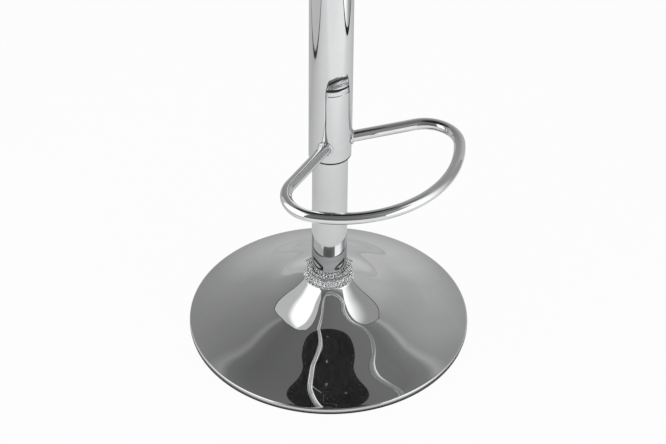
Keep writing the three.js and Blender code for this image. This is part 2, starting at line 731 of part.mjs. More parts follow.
function footrestHub() {
  const sleeve = toSolid(turned([
    [hubBore, hubFoot], [hubRadius, hubFoot], [hubRadius, hubTop - HUB_CHAMFER],
    [hubRadius - HUB_CHAMFER, hubTop], [hubBore, hubTop],
  ]));
  const inset = sideInset();
  const band = MOUTH_HALF_ANGLE - inset;
  const bandRows = [[hubFoot, -band, band], [footrestHeight - KEY_SIDE_GAP, -band, band]];
  const keyRows = notchHeights(footrestHeight - KEY_SIDE_GAP, keyTop).map(
    (z) => [z, NOTCH_LEFT_ANGLE + 2 * inset, notchEdges(z)[1] - inset],
  );
  const middle = (hubBore + hubRadius) / 2;
  const bandBlock = toSolid(wrappedBlock(bandRows, middle, keyRadius, NOTCH_COLUMNS));
  const keyBlock = toSolid(wrappedBlock(keyRows, middle, keyRadius, NOTCH_COLUMNS));
  return fromSolid(sleeve.add(bandBlock).add(keyBlock));
}

function hubUpperBush() {
  const bore = LIFT_TUBE_RADIUS + GAP;
  const sleeve = bore + BUSH_WALL;
  return turned([
    [bore, 0], [hubRadius, 0], [hubRadius, BUSH_LIP_HEIGHT], [sleeve, BUSH_LIP_HEIGHT],
    [sleeve, BUSH_LENGTH], [bore, BUSH_LENGTH],
  ]);
}

// The lower bush has the same lip, grown outwards to fill the cover tube's mouth
function hubLowerBush() {
  const band = MOUTH_HALF_ANGLE - sideInset();
  const rows = [[0, -band, band], [BUSH_LIP_HEIGHT, -band, band]];
  const middle = (hubBore + hubRadius) / 2;
  const tongue = wrappedBlock(rows, middle, coverRadius - BUSH_LIP_SET_IN, NOTCH_COLUMNS);
  return fromSolid(toSolid(hubUpperBush()).add(toSolid(tongue)));
}

// Footrest loop

// Two straight arms, two tight corners and one wide front bend, all tangent
function footrestPath() {
  const frontCentre = new THREE.Vector2(0, -(FOOTREST_REACH - FOOTREST_FRONT_RADIUS));
  const { start, along } = armLine(1);
  const inwards = new THREE.Vector2(along.y, -along.x);
  const tangentStart = start.clone().addScaledVector(inwards, FOOTREST_CORNER_RADIUS);
  const offset = tangentStart.clone().sub(frontCentre);
  const reach = FOOTREST_FRONT_RADIUS - FOOTREST_CORNER_RADIUS;
  const back = offset.dot(along);
  const run = -back + Math.sqrt(back ** 2 - offset.lengthSq() + reach ** 2);
  const corner = tangentStart.clone().addScaledVector(along, run);
  const armEnd = start.clone().addScaledVector(along, run);
  const armAngle = Math.atan2(armEnd.y - corner.y, armEnd.x - corner.x);
  const frontAngle = Math.atan2(corner.y - frontCentre.y, corner.x - frontCentre.x);
  const path = new THREE.Path();
  path.moveTo(start.x, start.y);
  path.lineTo(armEnd.x, armEnd.y);
  path.absarc(corner.x, corner.y, FOOTREST_CORNER_RADIUS, armAngle, frontAngle, true);
  path.absarc(0, frontCentre.y, FOOTREST_FRONT_RADIUS, frontAngle, Math.PI - frontAngle, true);
  path.absarc(-corner.x, corner.y, FOOTREST_CORNER_RADIUS, Math.PI - frontAngle, Math.PI - armAngle, true);
  path.lineTo(start.x, start.y);
  return path;
}

function footrestLoop() {
  const bore = FOOTREST_TUBE_RADIUS - FOOTREST_TUBE_WALL;
  const loop = bentTube(
    footrestPath(), FOOTREST_TUBE_RADIUS, bore, FOOTREST_SIDES, FOOTREST_BORE_SIDES, FOOTREST_STEPS,
  );
  const hubSpace = rod(keyRadius + GAP, 4 * FOOTREST_TUBE_RADIUS, -2 * FOOTREST_TUBE_RADIUS);
  return fromSolid(toSolid(loop).subtract(toSolid(hubSpace)));
}

// A bead of weld round an arm where it meets the hub
function footrestWeld(side) {
  const bore = FOOTREST_TUBE_RADIUS + GAP;
  const foot = -2 * WELD_HEIGHT;
  const bead = turned([
    [bore, foot], [bore + WELD_WIDTH, foot], [bore + WELD_WIDTH, 0],
    [bore + WELD_WIDTH * 0.8, WELD_HEIGHT / 2], [bore, WELD_HEIGHT],
  ]);
  const hubSpace = rod(keyRadius + GAP, hubTop - hubFoot, hubFoot);
  return fromSolid(toSolid(alongArm(bead, side)).subtract(toSolid(hubSpace)));
}

// Seat plate and socket

function roundedSquare(side, corner) {
  const half = side / 2;
  const inner = half - corner;
  const shape = new THREE.Shape();
  shape.absarc(inner, inner, corner, 0, Math.PI / 2);
  shape.absarc(-inner, inner, corner, Math.PI / 2, Math.PI);
  shape.absarc(-inner, -inner, corner, Math.PI, Math.PI * 3 / 2);
  shape.absarc(inner, -inner, corner, Math.PI * 3 / 2, Math.PI * 2);
  return shape;
}

function boltPlaces() {
  const places = [];
  for (const x of [-1, 1]) {
    for (const y of [-1, 1]) places.push([x * BOLT_OFFSET, y * BOLT_OFFSET]);
  }
  return places;
}

function across(geometry) {
  return geometry.rotateX(Math.PI / 2);
}

// Flange, pan and the two ears that hold the lever's pivot, in the stool's own heights
function seatPlate() {
  const flangeFoot = seatPlateTop - SEAT_PLATE_THICKNESS;
  const panInside = PAN_SIDE - 2 * SEAT_PLATE_THICKNESS;
  const panHeight = flangeFoot + SEAT_PLATE_THICKNESS / 2 - panFoot;
  const flange = plate(roundedSquare(SEAT_PLATE_SIDE, SEAT_PLATE_CORNER), SEAT_PLATE_THICKNESS);
  let solid = toSolid(flange.translate(0, 0, flangeFoot));
  solid = solid.add(toSolid(box(PAN_SIDE, PAN_SIDE, panHeight, 0, 0, panFoot)));
  const hollowFoot = panFoot + SEAT_PLATE_THICKNESS;
  const hollowHeight = seatPlateTop + OVERRUN - hollowFoot;
  solid = solid.subtract(toSolid(box(panInside, panInside, hollowHeight, 0, 0, hollowFoot)));
  const socketHole = rod(SEAT_SOCKET_RADIUS + GAP, SEAT_PLATE_THICKNESS + 2 * OVERRUN, panFoot - OVERRUN);
  solid = solid.subtract(toSolid(socketHole));
  const earLength = panInside / 2 - LEVER_ARM + EAR_INNER_REACH;
  const earCentre = -(panInside / 2 - earLength / 2);
  const earTop = leverHeight + EAR_RISE;
  for (const side of [-1, 1]) {
    const y = side * (EAR_OFFSET + EAR_THICKNESS / 2);
    const foot = hollowFoot - SEAT_PLATE_THICKNESS / 2;
    const length = earLength + SEAT_PLATE_THICKNESS;
    const ear = box(length, EAR_THICKNESS, earTop - foot, earCentre - SEAT_PLATE_THICKNESS / 2, y, foot);
    solid = solid.add(toSolid(ear));
  }
  const pivotHole = across(rod(PIVOT_RADIUS + GAP, 4 * EAR_OFFSET, -2 * EAR_OFFSET));
  solid = solid.subtract(toSolid(pivotHole.translate(-LEVER_ARM, 0, leverHeight)));
  const slotHalf = LEVER_RADIUS + LEVER_SWING_ROOM;
  const slot = box(4 * SEAT_PLATE_THICKNESS, 2 * slotHalf, 2 * slotHalf, -PAN_SIDE / 2, 0, leverHeight - slotHalf);
  solid = solid.subtract(toSolid(slot));
  for (const [x, y] of boltPlaces()) {
    const hole = rod(BOLT_RADIUS + GAP, SEAT_PLATE_THICKNESS + 2 * OVERRUN, flangeFoot - OVERRUN);
    solid = solid.subtract(toSolid(hole.translate(x, y, 0)));
  }
  return fromSolid(solid);
}

function seatSocket() {
  const foot = panFoot - SEAT_SOCKET_BELOW_PAN;
  const top = panFoot + SEAT_PLATE_THICKNESS + SEAT_SOCKET_IN_PAN;
  return turned([
    [cylinderRadiusAt(foot) + GAP, foot], [SEAT_SOCKET_RADIUS, foot],
    [SEAT_SOCKET_RADIUS, top], [cylinderRadiusAt(top) + GAP, top],
  ]);
}

// Release lever, drawn in its own upright plane with the pivot at the origin

function leverPath() {
  const path = new THREE.Path();
  path.moveTo(LEVER_ARM + LEVER_TIP_REACH, 0);
  path.lineTo(LEVER_ARM - LEVER_STRAIGHT, 0);
  const slope = leverSlope();
  const bendEnd = LEVER_ARM - LEVER_STRAIGHT - LEVER_BEND;
  path.quadraticCurveTo(bendEnd + LEVER_BEND / 2, 0, bendEnd, -LEVER_BEND / 2 * slope);
  path.lineTo(LEVER_ARM - LEVER_REACH, -LEVER_DROP);
  return path;
}

function leverSlope() {
  return LEVER_DROP / (LEVER_REACH - LEVER_STRAIGHT - LEVER_BEND / 2);
}

function leverRod() {
  const bar = bentTube(leverPath(), LEVER_RADIUS, 0, LEVER_SIDES, 0, LEVER_STEPS);
  let solid = toSolid(bar.rotateX(Math.PI / 2));
  const bossLength = 2 * (EAR_OFFSET - GAP);
  solid = solid.add(toSolid(across(rod(LEVER_BOSS_RADIUS, bossLength, -bossLength / 2))));
  const pinHole = across(rod(PIVOT_RADIUS + GAP, bossLength + 2 * OVERRUN, -bossLength / 2 - OVERRUN));
  return fromSolid(solid.subtract(toSolid(pinHole)));
}

function leverPivotPin() {
  const half = EAR_OFFSET + EAR_THICKNESS + GAP;
  const headTop = half + PIVOT_HEAD_HEIGHT;
  return across(turned([
    [0, -headTop], [PIVOT_RADIUS, -headTop], [PIVOT_RADIUS, half], [PIVOT_HEAD_RADIUS, half],
    [PIVOT_HEAD_RADIUS, headTop], [0, headTop],
  ]));
}

// A soft moulded sleeve pushed onto the end of the lever, along its own +Z
function leverGrip() {
  const bore = LEVER_RADIUS + GAP;
  const boreDepth = GRIP_LENGTH - GRIP_END_WALL;
  const swell = GRIP_RADIUS + GRIP_SWELL;
  return turned([
    [bore, 0], [GRIP_RADIUS, 0], [GRIP_RADIUS, GRIP_LENGTH / 8], [swell, GRIP_LENGTH / 2],
    [swell, GRIP_LENGTH - GRIP_END_WALL], [GRIP_RADIUS, GRIP_LENGTH - GRIP_END_WALL / 4],
    [GRIP_RADIUS / 2, GRIP_LENGTH], [0, GRIP_LENGTH], [0, boreDepth], [bore, boreDepth],
  ]);
}

// Seat fixings

function seatBolt() {
  const hexagon = new THREE.Shape(circlePoints(BOLT_HEAD_RADIUS, 6));
  const head = toSolid(plate(hexagon, BOLT_HEAD_HEIGHT));
  const reach = GAP + WASHER_THICKNESS + GAP + SEAT_PLATE_THICKNESS + GAP + BOARD_THICKNESS;
  const length = BOLT_HEAD_HEIGHT + reach - TEE_NUT_FLANGE;
  const shank = rod(BOLT_RADIUS, length - BOLT_HEAD_HEIGHT / 2, BOLT_HEAD_HEIGHT / 2);
  return fromSolid(head.add(toSolid(shank)));
}

function seatWasher() {
  return ring(BOLT_RADIUS + GAP, WASHER_RADIUS, WASHER_THICKNESS);
}

// The barrel hangs from its flange; the flange's top is at zero
function seatTeeNut() {
  const bore = BOLT_RADIUS + GAP;
  const barrel = bore + TEE_NUT_BARREL_WALL;
  return turned([
    [bore, 0], [bore, -TEE_NUT_BARREL_LENGTH], [barrel, -TEE_NUT_BARREL_LENGTH],
    [barrel, -TEE_NUT_FLANGE], [TEE_NUT_RADIUS, -TEE_NUT_FLANGE], [TEE_NUT_RADIUS, 0],
  ]);
}

// Board, dust cover and cushion

function seatBoard() {
  let solid = toSolid(rod(BOARD_RADIUS, BOARD_THICKNESS));
  const barrelHole = BOLT_RADIUS + GAP + TEE_NUT_BARREL_WALL + GAP;
  const pocketDepth = TEE_NUT_FLANGE + 2 * GAP;
  for (const [x, y] of boltPlaces()) {
    const hole = rod(barrelHole, BOARD_THICKNESS + 2 * OVERRUN, -OVERRUN).translate(x, y, 0);
    const pocket = rod(TEE_NUT_RADIUS + GAP, pocketDepth + OVERRUN, BOARD_THICKNESS - pocketDepth);
    solid = solid.subtract(toSolid(hole)).subtract(toSolid(pocket.translate(x, y, 0)));
  }
  return fromSolid(solid);
}

function seatDustCover() {
  const shape = new THREE.Shape(circlePoints(BOARD_RADIUS - DUST_COVER_MARGIN, MOST_SIDES));
  const opening = roundedSquare(SEAT_PLATE_SIDE + 2 * GAP, SEAT_PLATE_CORNER + GAP);
  shape.holes.push(new THREE.Path(opening.getPoints(CORNER_STEPS)));
  return plate(shape, DUST_COVER_THICKNESS);
}

// One solid for foam and cover: it caps the board and closes round its edge
function seatCushion() {
  const bore = BOARD_RADIUS + GAP;
  const hem = -BOARD_THICKNESS - GAP;
  const sideTop = CUSHION_HEIGHT - CUSHION_CROWN - BOARD_THICKNESS;
  const outline = [[0, 0], [bore, 0], [bore, hem]];
  for (const [out, up] of CUSHION_SIDE_SHARES) {
    outline.push([
      bore + (CUSHION_RADIUS - bore) * out,
      hem + (sideTop - hem) * up,
    ]);
  }
  const [edge, edgeHeight] = outline[outline.length - 1];
  const top = sideTop + CUSHION_CROWN;
  for (let i = 1; i <= CUSHION_CROWN_STEPS; i += 1) {
    const share = 1 - i / CUSHION_CROWN_STEPS;
    outline.push([edge * share, edgeHeight + (top - edgeHeight) * (1 - share ** 2.6)]);
  }
  return turned(outline);
}

// Assembly: one group for each part that moves as a whole

function addPiece(group, name, geometry, material, height = 0, x = 0, y = 0) {
  const mesh = new THREE.Mesh(geometry, material);
  mesh.name = name;
  mesh.position.set(x, y, height);
  group.add(mesh);
  return mesh;
}

function baseGroup() {
  const group = new THREE.Group();
  addPiece(group, 'base_shell', baseShell(), chrome);
  addPiece(group, 'base_floor_ring', baseFloorRing(), rubber);
  addPiece(group, 'base_socket', baseSocket(), steel);
  addPiece(group, 'base_stiffener_plate', baseStiffenerPlate(), blackPaint, STIFFENER_HEIGHT);
  addPiece(group, 'scuff_collar', scuffCollar(), clearPlastic, collarFoot);
  addPiece(group, 'lift_outer_tube', liftOuterTube(), chrome);
  addPiece(group, 'lift_bottom_plate', liftBottomPlate(), steel, bottomPlateFoot);
  addPiece(group, 'lift_guide_bush', liftGuideBush(), blackPlastic, liftTubeTop - GUIDE_BUSH_LENGTH);
  addPiece(group, 'bearing_lower_race', bearingRace(), steel, lowerRaceFoot);
  return group;
}

function spindleGroup() {
  const group = new THREE.Group();
  addPiece(group, 'piston_rod', pistonRod(), steel);
  addPiece(group, 'rod_retaining_clip', rodRetainingClip(), steel, bottomPlateFoot - GAP - CLIP_THICKNESS);
  addPiece(group, 'bearing_ball_cage', bearingBallCage(), steel, cageFoot);
  addPiece(group, 'bearing_upper_race', bearingRace(), steel, upperRaceFoot);
  addPiece(group, 'lift_bumper', liftBumper(), rubber, rodShoulder);
  addPiece(group, 'piston', piston(), steel, pistonFoot);
  const sealFoot = pistonFoot + (PISTON_HEIGHT - SEAL_HEIGHT) / 2;
  addPiece(group, 'piston_seal', pistonSeal(), rubber, sealFoot);
  addPiece(group, 'piston_nut', pistonNut(), steel, pistonFoot + PISTON_HEIGHT + GAP);
  return group;
}

function columnGroup() {
  const group = new THREE.Group();
  const sealRadius = cylinderBore - GAP;
  addPiece(group, 'gas_cylinder', gasCylinder(), blackPaint, cylinderFoot);
  addPiece(group, 'cylinder_gland', ring(ROD_RADIUS + GAP, sealRadius, GLAND_HEIGHT), rubber, glandFoot);
  const valveFoot = cylinderTop - CYLINDER_HEAD_HEIGHT - GAP - VALVE_HEIGHT;
  addPiece(group, 'valve_body', ring(PIN_RADIUS + GAP, sealRadius, VALVE_HEIGHT), steel, valveFoot);
  addPiece(group, 'cover_tube', coverTube(), chrome);
  const capFoot = panFoot - SEAT_SOCKET_BELOW_PAN - GAP - CAP_THICKNESS;
  addPiece(group, 'cover_tube_cap', coverTubeCap(), steel, capFoot);
  return group;
}

function footrestGroup() {
  const group = new THREE.Group();
  addPiece(group, 'footrest_hub', footrestHub(), chrome);
  addPiece(group, 'hub_lower_bush', hubLowerBush(), blackPlastic, coverFoot + BUSH_LIP_ABOVE_COVER);
  const upperBush = hubUpperBush().rotateX(Math.PI);
  addPiece(group, 'hub_upper_bush', upperBush, blackPlastic, hubTop + GAP + BUSH_LIP_HEIGHT);
  addPiece(group, 'footrest_loop', footrestLoop(), chrome, footrestHeight);
  addPiece(group, 'footrest_weld_left', footrestWeld(-1), chrome);
  addPiece(group, 'footrest_weld_right', footrestWeld(1), chrome);
  return group;
}

function seatGroup() {
  const group = new THREE.Group();
  addPiece(group, 'seat_plate', seatPlate(), blackPaint);
  addPiece(group, 'seat_socket', seatSocket(), blackPaint);
  const flangeFoot = seatPlateTop - SEAT_PLATE_THICKNESS;
  const washerFoot = flangeFoot - GAP - WASHER_THICKNESS;
  boltPlaces().forEach(([x, y], i) => {
    addPiece(group, `seat_bolt_${i + 1}`, seatBolt(), steel, washerFoot - GAP - BOLT_HEAD_HEIGHT, x, y);
    addPiece(group, `seat_washer_${i + 1}`, seatWasher(), steel, washerFoot, x, y);
    addPiece(group, `seat_tee_nut_${i + 1}`, seatTeeNut(), steel, boardTop - GAP, x, y);
  });
  addPiece(group, 'seat_board', seatBoard(), plywood, boardFoot);
  addPiece(group, 'seat_dust_cover', seatDustCover(), dustCloth, boardFoot - GAP - DUST_COVER_THICKNESS);
  addPiece(group, 'seat_cushion', seatCushion(), leatherette, boardTop + GAP);
  return group;
}

function leverGroup() {
  const group = new THREE.Group();
  group.position.set(-LEVER_ARM, 0, leverHeight);
  addPiece(group, 'lever_rod', leverRod(), steel);
  addPiece(group, 'lever_pivot_pin', leverPivotPin(), steel);
  const grip = addPiece(group, 'lever_grip', leverGrip(), blackPlastic);
  const outwards = new THREE.Vector3(-1, 0, -leverSlope()).normalize();
  const bareEnd = GRIP_LENGTH - GRIP_END_WALL - GAP;
  grip.position.set(LEVER_ARM - LEVER_REACH, 0, -LEVER_DROP).addScaledVector(outwards, -bareEnd);
  grip.quaternion.setFromUnitVectors(new THREE.Vector3(0, 0, 1), outwards);
  return group;
}

const stool = new THREE.Group();
stool.add(baseGroup(), spindleGroup(), columnGroup(), footrestGroup(), seatGroup(), leverGroup());
addPiece(stool, 'release_pin', releasePin(), steel);

export default stool;
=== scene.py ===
import math

import bmesh
import bpy
import numpy as np
from mathutils import Matrix, Vector, noise
from mathutils.geometry import delaunay_2d_cdt


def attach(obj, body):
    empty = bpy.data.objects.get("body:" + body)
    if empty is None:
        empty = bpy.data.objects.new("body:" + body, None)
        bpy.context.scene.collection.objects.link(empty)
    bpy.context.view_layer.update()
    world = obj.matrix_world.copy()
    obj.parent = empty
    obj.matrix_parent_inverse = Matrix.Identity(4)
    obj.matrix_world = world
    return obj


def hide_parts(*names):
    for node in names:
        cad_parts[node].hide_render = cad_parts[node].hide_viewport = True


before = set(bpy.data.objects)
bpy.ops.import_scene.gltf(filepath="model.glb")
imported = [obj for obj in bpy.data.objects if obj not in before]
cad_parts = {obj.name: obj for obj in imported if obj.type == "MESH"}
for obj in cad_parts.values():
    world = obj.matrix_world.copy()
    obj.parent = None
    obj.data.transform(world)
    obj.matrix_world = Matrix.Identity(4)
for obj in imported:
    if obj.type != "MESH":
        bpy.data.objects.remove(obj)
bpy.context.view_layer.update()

scene = bpy.context.scene
scene.view_settings.view_transform = "Standard"

# Camera: a long lens, well above the footrest and to the sitter's right, that takes in
# only the lower half of the stool, as the photograph does.
CAMERA_SENSOR = 36
CAMERA_LENS = 131.19
CAMERA_DISTANCE = 3.435
CAMERA_AIM_HEIGHT = 0.1831
CAMERA_AZIMUTH = -39.31
CAMERA_ELEVATION = 38.88
CAMERA_YAW = -0.106
CAMERA_ROLL = 0.616
CAMERA_FAR = 60.0

azimuth, elevation = math.radians(CAMERA_AZIMUTH), math.radians(CAMERA_ELEVATION)
camera_data = bpy.data.cameras.new("camera")
camera_data.sensor_width = CAMERA_SENSOR
camera_data.lens = CAMERA_LENS
camera_data.clip_end = CAMERA_FAR
camera = bpy.data.objects.new("camera", camera_data)
scene.collection.objects.link(camera)
camera_place = Vector((
    CAMERA_DISTANCE * math.cos(elevation) * math.sin(azimuth),
    -CAMERA_DISTANCE * math.cos(elevation) * math.cos(azimuth),
    CAMERA_AIM_HEIGHT + CAMERA_DISTANCE * math.sin(elevation),
))
camera_turn = (
    Matrix.Rotation(azimuth + math.radians(CAMERA_YAW), 4, "Z")
    @ Matrix.Rotation(math.pi / 2 - elevation, 4, "X")
    @ Matrix.Rotation(math.radians(CAMERA_ROLL), 4, "Z")
)
camera.matrix_world = Matrix.Translation(camera_place) @ camera_turn
scene.camera = camera

# Studio room: dim overhead and behind the camera, lighter low down behind the stool and to
# its right, and plain white where the camera or clear plastic looks straight at it.
ROOM_TONES_UP = (
    (0.0, 0.42), (0.34, 0.38), (0.5, 0.34), (0.64, 0.31), (0.75, 0.27), (0.785, 0.36),
    (0.81, 0.2), (0.87, 0.16), (1.0, 0.16),
)
ROOM_SHARES_BACK = ((0.0, 0.3), (0.1, 0.5), (0.25, 0.95), (0.94, 1.0), (1.0, 1.3))
ROOM_LEAN = 0.4


def link_nodes(tree, *pairs):
    for source, target in pairs:
        tree.links.new(source, target)


def add_node(tree, kind, **settings):
    """A new node; a setting is an input by its name, or else one of the node's own."""
    node = tree.nodes.new(kind)
    for name, value in settings.items():
        label = name.replace("_", " ").title()
        if label in node.inputs:
            node.inputs[label].default_value = value
        else:
            setattr(node, name, value)
    return node


def grey(level):
    return (level, level, level, 1)


def tone_ramp(tree, tones):
    ramp = tree.nodes.new("ShaderNodeValToRGB")
    for position, level in tones[1:-1]:
        ramp.color_ramp.elements.new(position).color = grey(level)
    for element, (position, level) in ((ramp.color_ramp.elements[0], tones[0]),
                                       (ramp.color_ramp.elements[-1], tones[-1])):
        element.position = position
        element.color = grey(level)
    return ramp


def seen_plainly(tree, light_path):
    """1 where the camera or clear plastic looks straight at the stage, and 0 in a mirror."""
    plainly = add_node(tree, "ShaderNodeMath", operation="MAXIMUM")
    link_nodes(
        tree,
        (light_path.outputs["Is Camera Ray"], plainly.inputs[0]),
        (light_path.outputs["Is Transmission Ray"], plainly.inputs[1]),
    )
    return plainly.outputs[0]


world = bpy.data.worlds.new("studio_room")
world.use_nodes = True
scene.world = world
tree = world.node_tree
background = tree.nodes["Background"]
direction = add_node(tree, "ShaderNodeTexCoord")
turned_room = add_node(tree, "ShaderNodeVectorRotate", rotation_type="Z_AXIS", angle=-azimuth)
parts = add_node(tree, "ShaderNodeSeparateXYZ")
depth = add_node(tree, "ShaderNodeMapRange", from_min=-1, from_max=1)
up_ramp = tone_ramp(tree, ROOM_TONES_UP)
back_ramp = tone_ramp(tree, ROOM_SHARES_BACK)
lean = add_node(tree, "ShaderNodeMath", operation="MULTIPLY_ADD")
lean.inputs[1].default_value = ROOM_LEAN
lean.inputs[2].default_value = 1
up_back = add_node(tree, "ShaderNodeMath", operation="MULTIPLY")
room_tone = add_node(tree, "ShaderNodeMath", operation="MULTIPLY")
light_path = add_node(tree, "ShaderNodeLightPath")
room_mix = add_node(tree, "ShaderNodeMix", data_type="RGBA")
room_mix.inputs[7].default_value = grey(1)
link_nodes(
    tree,
    (direction.outputs["Generated"], turned_room.inputs["Vector"]),
    (turned_room.outputs["Vector"], parts.inputs["Vector"]),
    (parts.outputs["Y"], depth.inputs["Value"]),
    (depth.outputs["Result"], back_ramp.inputs["Fac"]),
    (parts.outputs["Z"], up_ramp.inputs["Fac"]),
    (parts.outputs["X"], lean.inputs[0]),
    (up_ramp.outputs["Color"], up_back.inputs[0]),
    (back_ramp.outputs["Color"], up_back.inputs[1]),
    (up_back.outputs[0], room_tone.inputs[0]),
    (lean.outputs[0], room_tone.inputs[1]),
    (seen_plainly(tree, light_path), room_mix.inputs["Factor"]),
    (room_tone.outputs[0], room_mix.inputs[6]),
    (room_mix.outputs[2], background.inputs["Color"]),
)

# Studio floor: white paper. The camera sees it white with only a trace of the stool's
# shadow. The chrome mirrors it light near the camera, greyer behind the stool and dark close
# to the base's rim, where it lies in shade. Mirrored twice over, it comes out dimmer.
FLOOR_SIZE = 24.0
FLOOR_PAPER = 0.86
FLOOR_GLOW_SHARE = 0.95
FLOOR_MIRROR_SHARE = 0.8
FLOOR_MIRROR_REACH = 0.6
FLOOR_MIRROR_LEAN = math.radians(-30)
FLOOR_MIRROR_TONES = (
    (0.0, 0.95), (0.125, 0.8), (0.5, 0.66), (0.75, 0.55), (0.92, 0.45), (1.0, 0.5),
)
FLOOR_SHADE_REACH = (0.2072, 0.2095)
FLOOR_SHADE_TONE = 0.03
FLOOR_SECOND_MIRROR = 0.45

half_floor = FLOOR_SIZE / 2
floor_mesh = bpy.data.meshes.new("floor")
floor_mesh.from_pydata(
    [(x * half_floor, y * half_floor, 0) for x, y in ((-1, -1), (1, -1), (1, 1), (-1, 1))],
    [], [(0, 1, 2, 3)],
)
floor = bpy.data.objects.new("floor", floor_mesh)
scene.collection.objects.link(floor)

paper = bpy.data.materials.new("studio_floor")
paper.use_nodes = True
tree = paper.node_tree
paper_shader = tree.nodes["Principled BSDF"]
paper_shader.inputs["Base Color"].default_value = grey(FLOOR_PAPER)
paper_shader.inputs["Roughness"].default_value = 1
place = add_node(tree, "ShaderNodeTexCoord")
turned_floor = add_node(
    tree, "ShaderNodeVectorRotate", rotation_type="Z_AXIS", angle=FLOOR_MIRROR_LEAN - azimuth,
)
parts = add_node(tree, "ShaderNodeSeparateXYZ")
depth = add_node(
    tree, "ShaderNodeMapRange", from_min=-FLOOR_MIRROR_REACH, from_max=FLOOR_MIRROR_REACH,
)
floor_ramp = tone_ramp(tree, FLOOR_MIRROR_TONES)
from_stool = add_node(tree, "ShaderNodeVectorMath", operation="LENGTH")
shade = add_node(
    tree, "ShaderNodeMapRange", interpolation_type="SMOOTHSTEP", to_min=FLOOR_SHADE_TONE,
    from_min=FLOOR_SHADE_REACH[0], from_max=FLOOR_SHADE_REACH[1],
)
mirrored_glow = add_node(tree, "ShaderNodeEmission")
seen_glow = add_node(tree, "ShaderNodeEmission")
light_path = add_node(tree, "ShaderNodeLightPath")
second = add_node(
    tree, "ShaderNodeMapRange", from_min=1, from_max=2, to_min=1, to_max=FLOOR_SECOND_MIRROR,
)
glow_level = add_node(tree, "ShaderNodeMath", operation="MULTIPLY")
mirrored = add_node(tree, "ShaderNodeMath", operation="MULTIPLY")
mirrored.inputs[1].default_value = FLOOR_MIRROR_SHARE
seen = add_node(tree, "ShaderNodeMath", operation="MULTIPLY")
seen.inputs[1].default_value = FLOOR_GLOW_SHARE
mirrored_mix = add_node(tree, "ShaderNodeMixShader")
seen_mix = add_node(tree, "ShaderNodeMixShader")
link_nodes(
    tree,
    (place.outputs["Object"], turned_floor.inputs["Vector"]),
    (turned_floor.outputs["Vector"], parts.inputs["Vector"]),
    (parts.outputs["Y"], depth.inputs["Value"]),
    (depth.outputs["Result"], floor_ramp.inputs["Fac"]),
    (floor_ramp.outputs["Color"], mirrored_glow.inputs["Color"]),
    (place.outputs["Object"], from_stool.inputs[0]),
    (from_stool.outputs["Value"], shade.inputs["Value"]),
    (light_path.outputs["Glossy Depth"], second.inputs["Value"]),
    (shade.outputs["Result"], glow_level.inputs[0]),
    (second.outputs["Result"], glow_level.inputs[1]),
    (glow_level.outputs[0], mirrored_glow.inputs["Strength"]),
    (light_path.outputs["Is Glossy Ray"], mirrored.inputs[0]),
    (mirrored.outputs[0], mirrored_mix.inputs["Fac"]),
    (paper_shader.outputs[0], mirrored_mix.inputs[1]),
    (mirrored_glow.outputs[0], mirrored_mix.inputs[2]),
    (seen_plainly(tree, light_path), seen.inputs[0]),
    (seen.outputs[0], seen_mix.inputs["Fac"]),
    (mirrored_mix.outputs[0], seen_mix.inputs[1]),
    (seen_glow.outputs[0], seen_mix.inputs[2]),
    (seen_mix.outputs[0], tree.nodes["Material Output"].inputs["Surface"]),
)
floor_mesh.materials.append(paper)

# Softboxes: two tall cloth panels beside the stool, each brightest in its middle and edged by
# a black frame, and a soft lamp overhead that reaches cloth and plastic but shows in no metal.
SOFTBOX_MIDDLE = 1.28
SOFTBOX_FRAME = 0.016
SOFTBOX_FRAME_BEHIND = 0.002
SOFTBOX_FRAME_TONE = 0.01
SOFTBOX_FOOT = 0.02
SOFTBOX_FRAME_FOOT = 0.001
OVERHEAD_SIZE = 2.0
OVERHEAD_HEIGHT = 2.6
OVERHEAD_RADIANCE = 2.4
# Each panel: its side, distance and outline, then the back, top and foot of its bright middle,
# the softness of its edges and its outer tone. An outline point is (reach away, height).
SOFTBOX_PANELS = (
    (-1, 0.7, ((0.44, 0), (0.44, 0.72), (0.28, 0.95), (0.2, 1.25), (0.12, 1.75), (-0.05, 2.2),
               (-0.9, 2.35), (-0.9, 0)), (0.1, 1.6, 0.25), 0.07, 0.55),
    (1, 0.77, ((0.39, 0), (0.39, 1.02), (0.16, 1.38), (-0.35, 1.48), (-0.35, 0.9),
               (-1.05, 0.5), (-1.05, 0)), (-0.08, 1.6, -0.5), 0.25, 0.34),
)


def stage_material(name, level):
    material = bpy.data.materials.new(name)
    material.use_nodes = True
    material.node_tree.nodes["Principled BSDF"].inputs["Base Color"].default_value = grey(level)
    return material


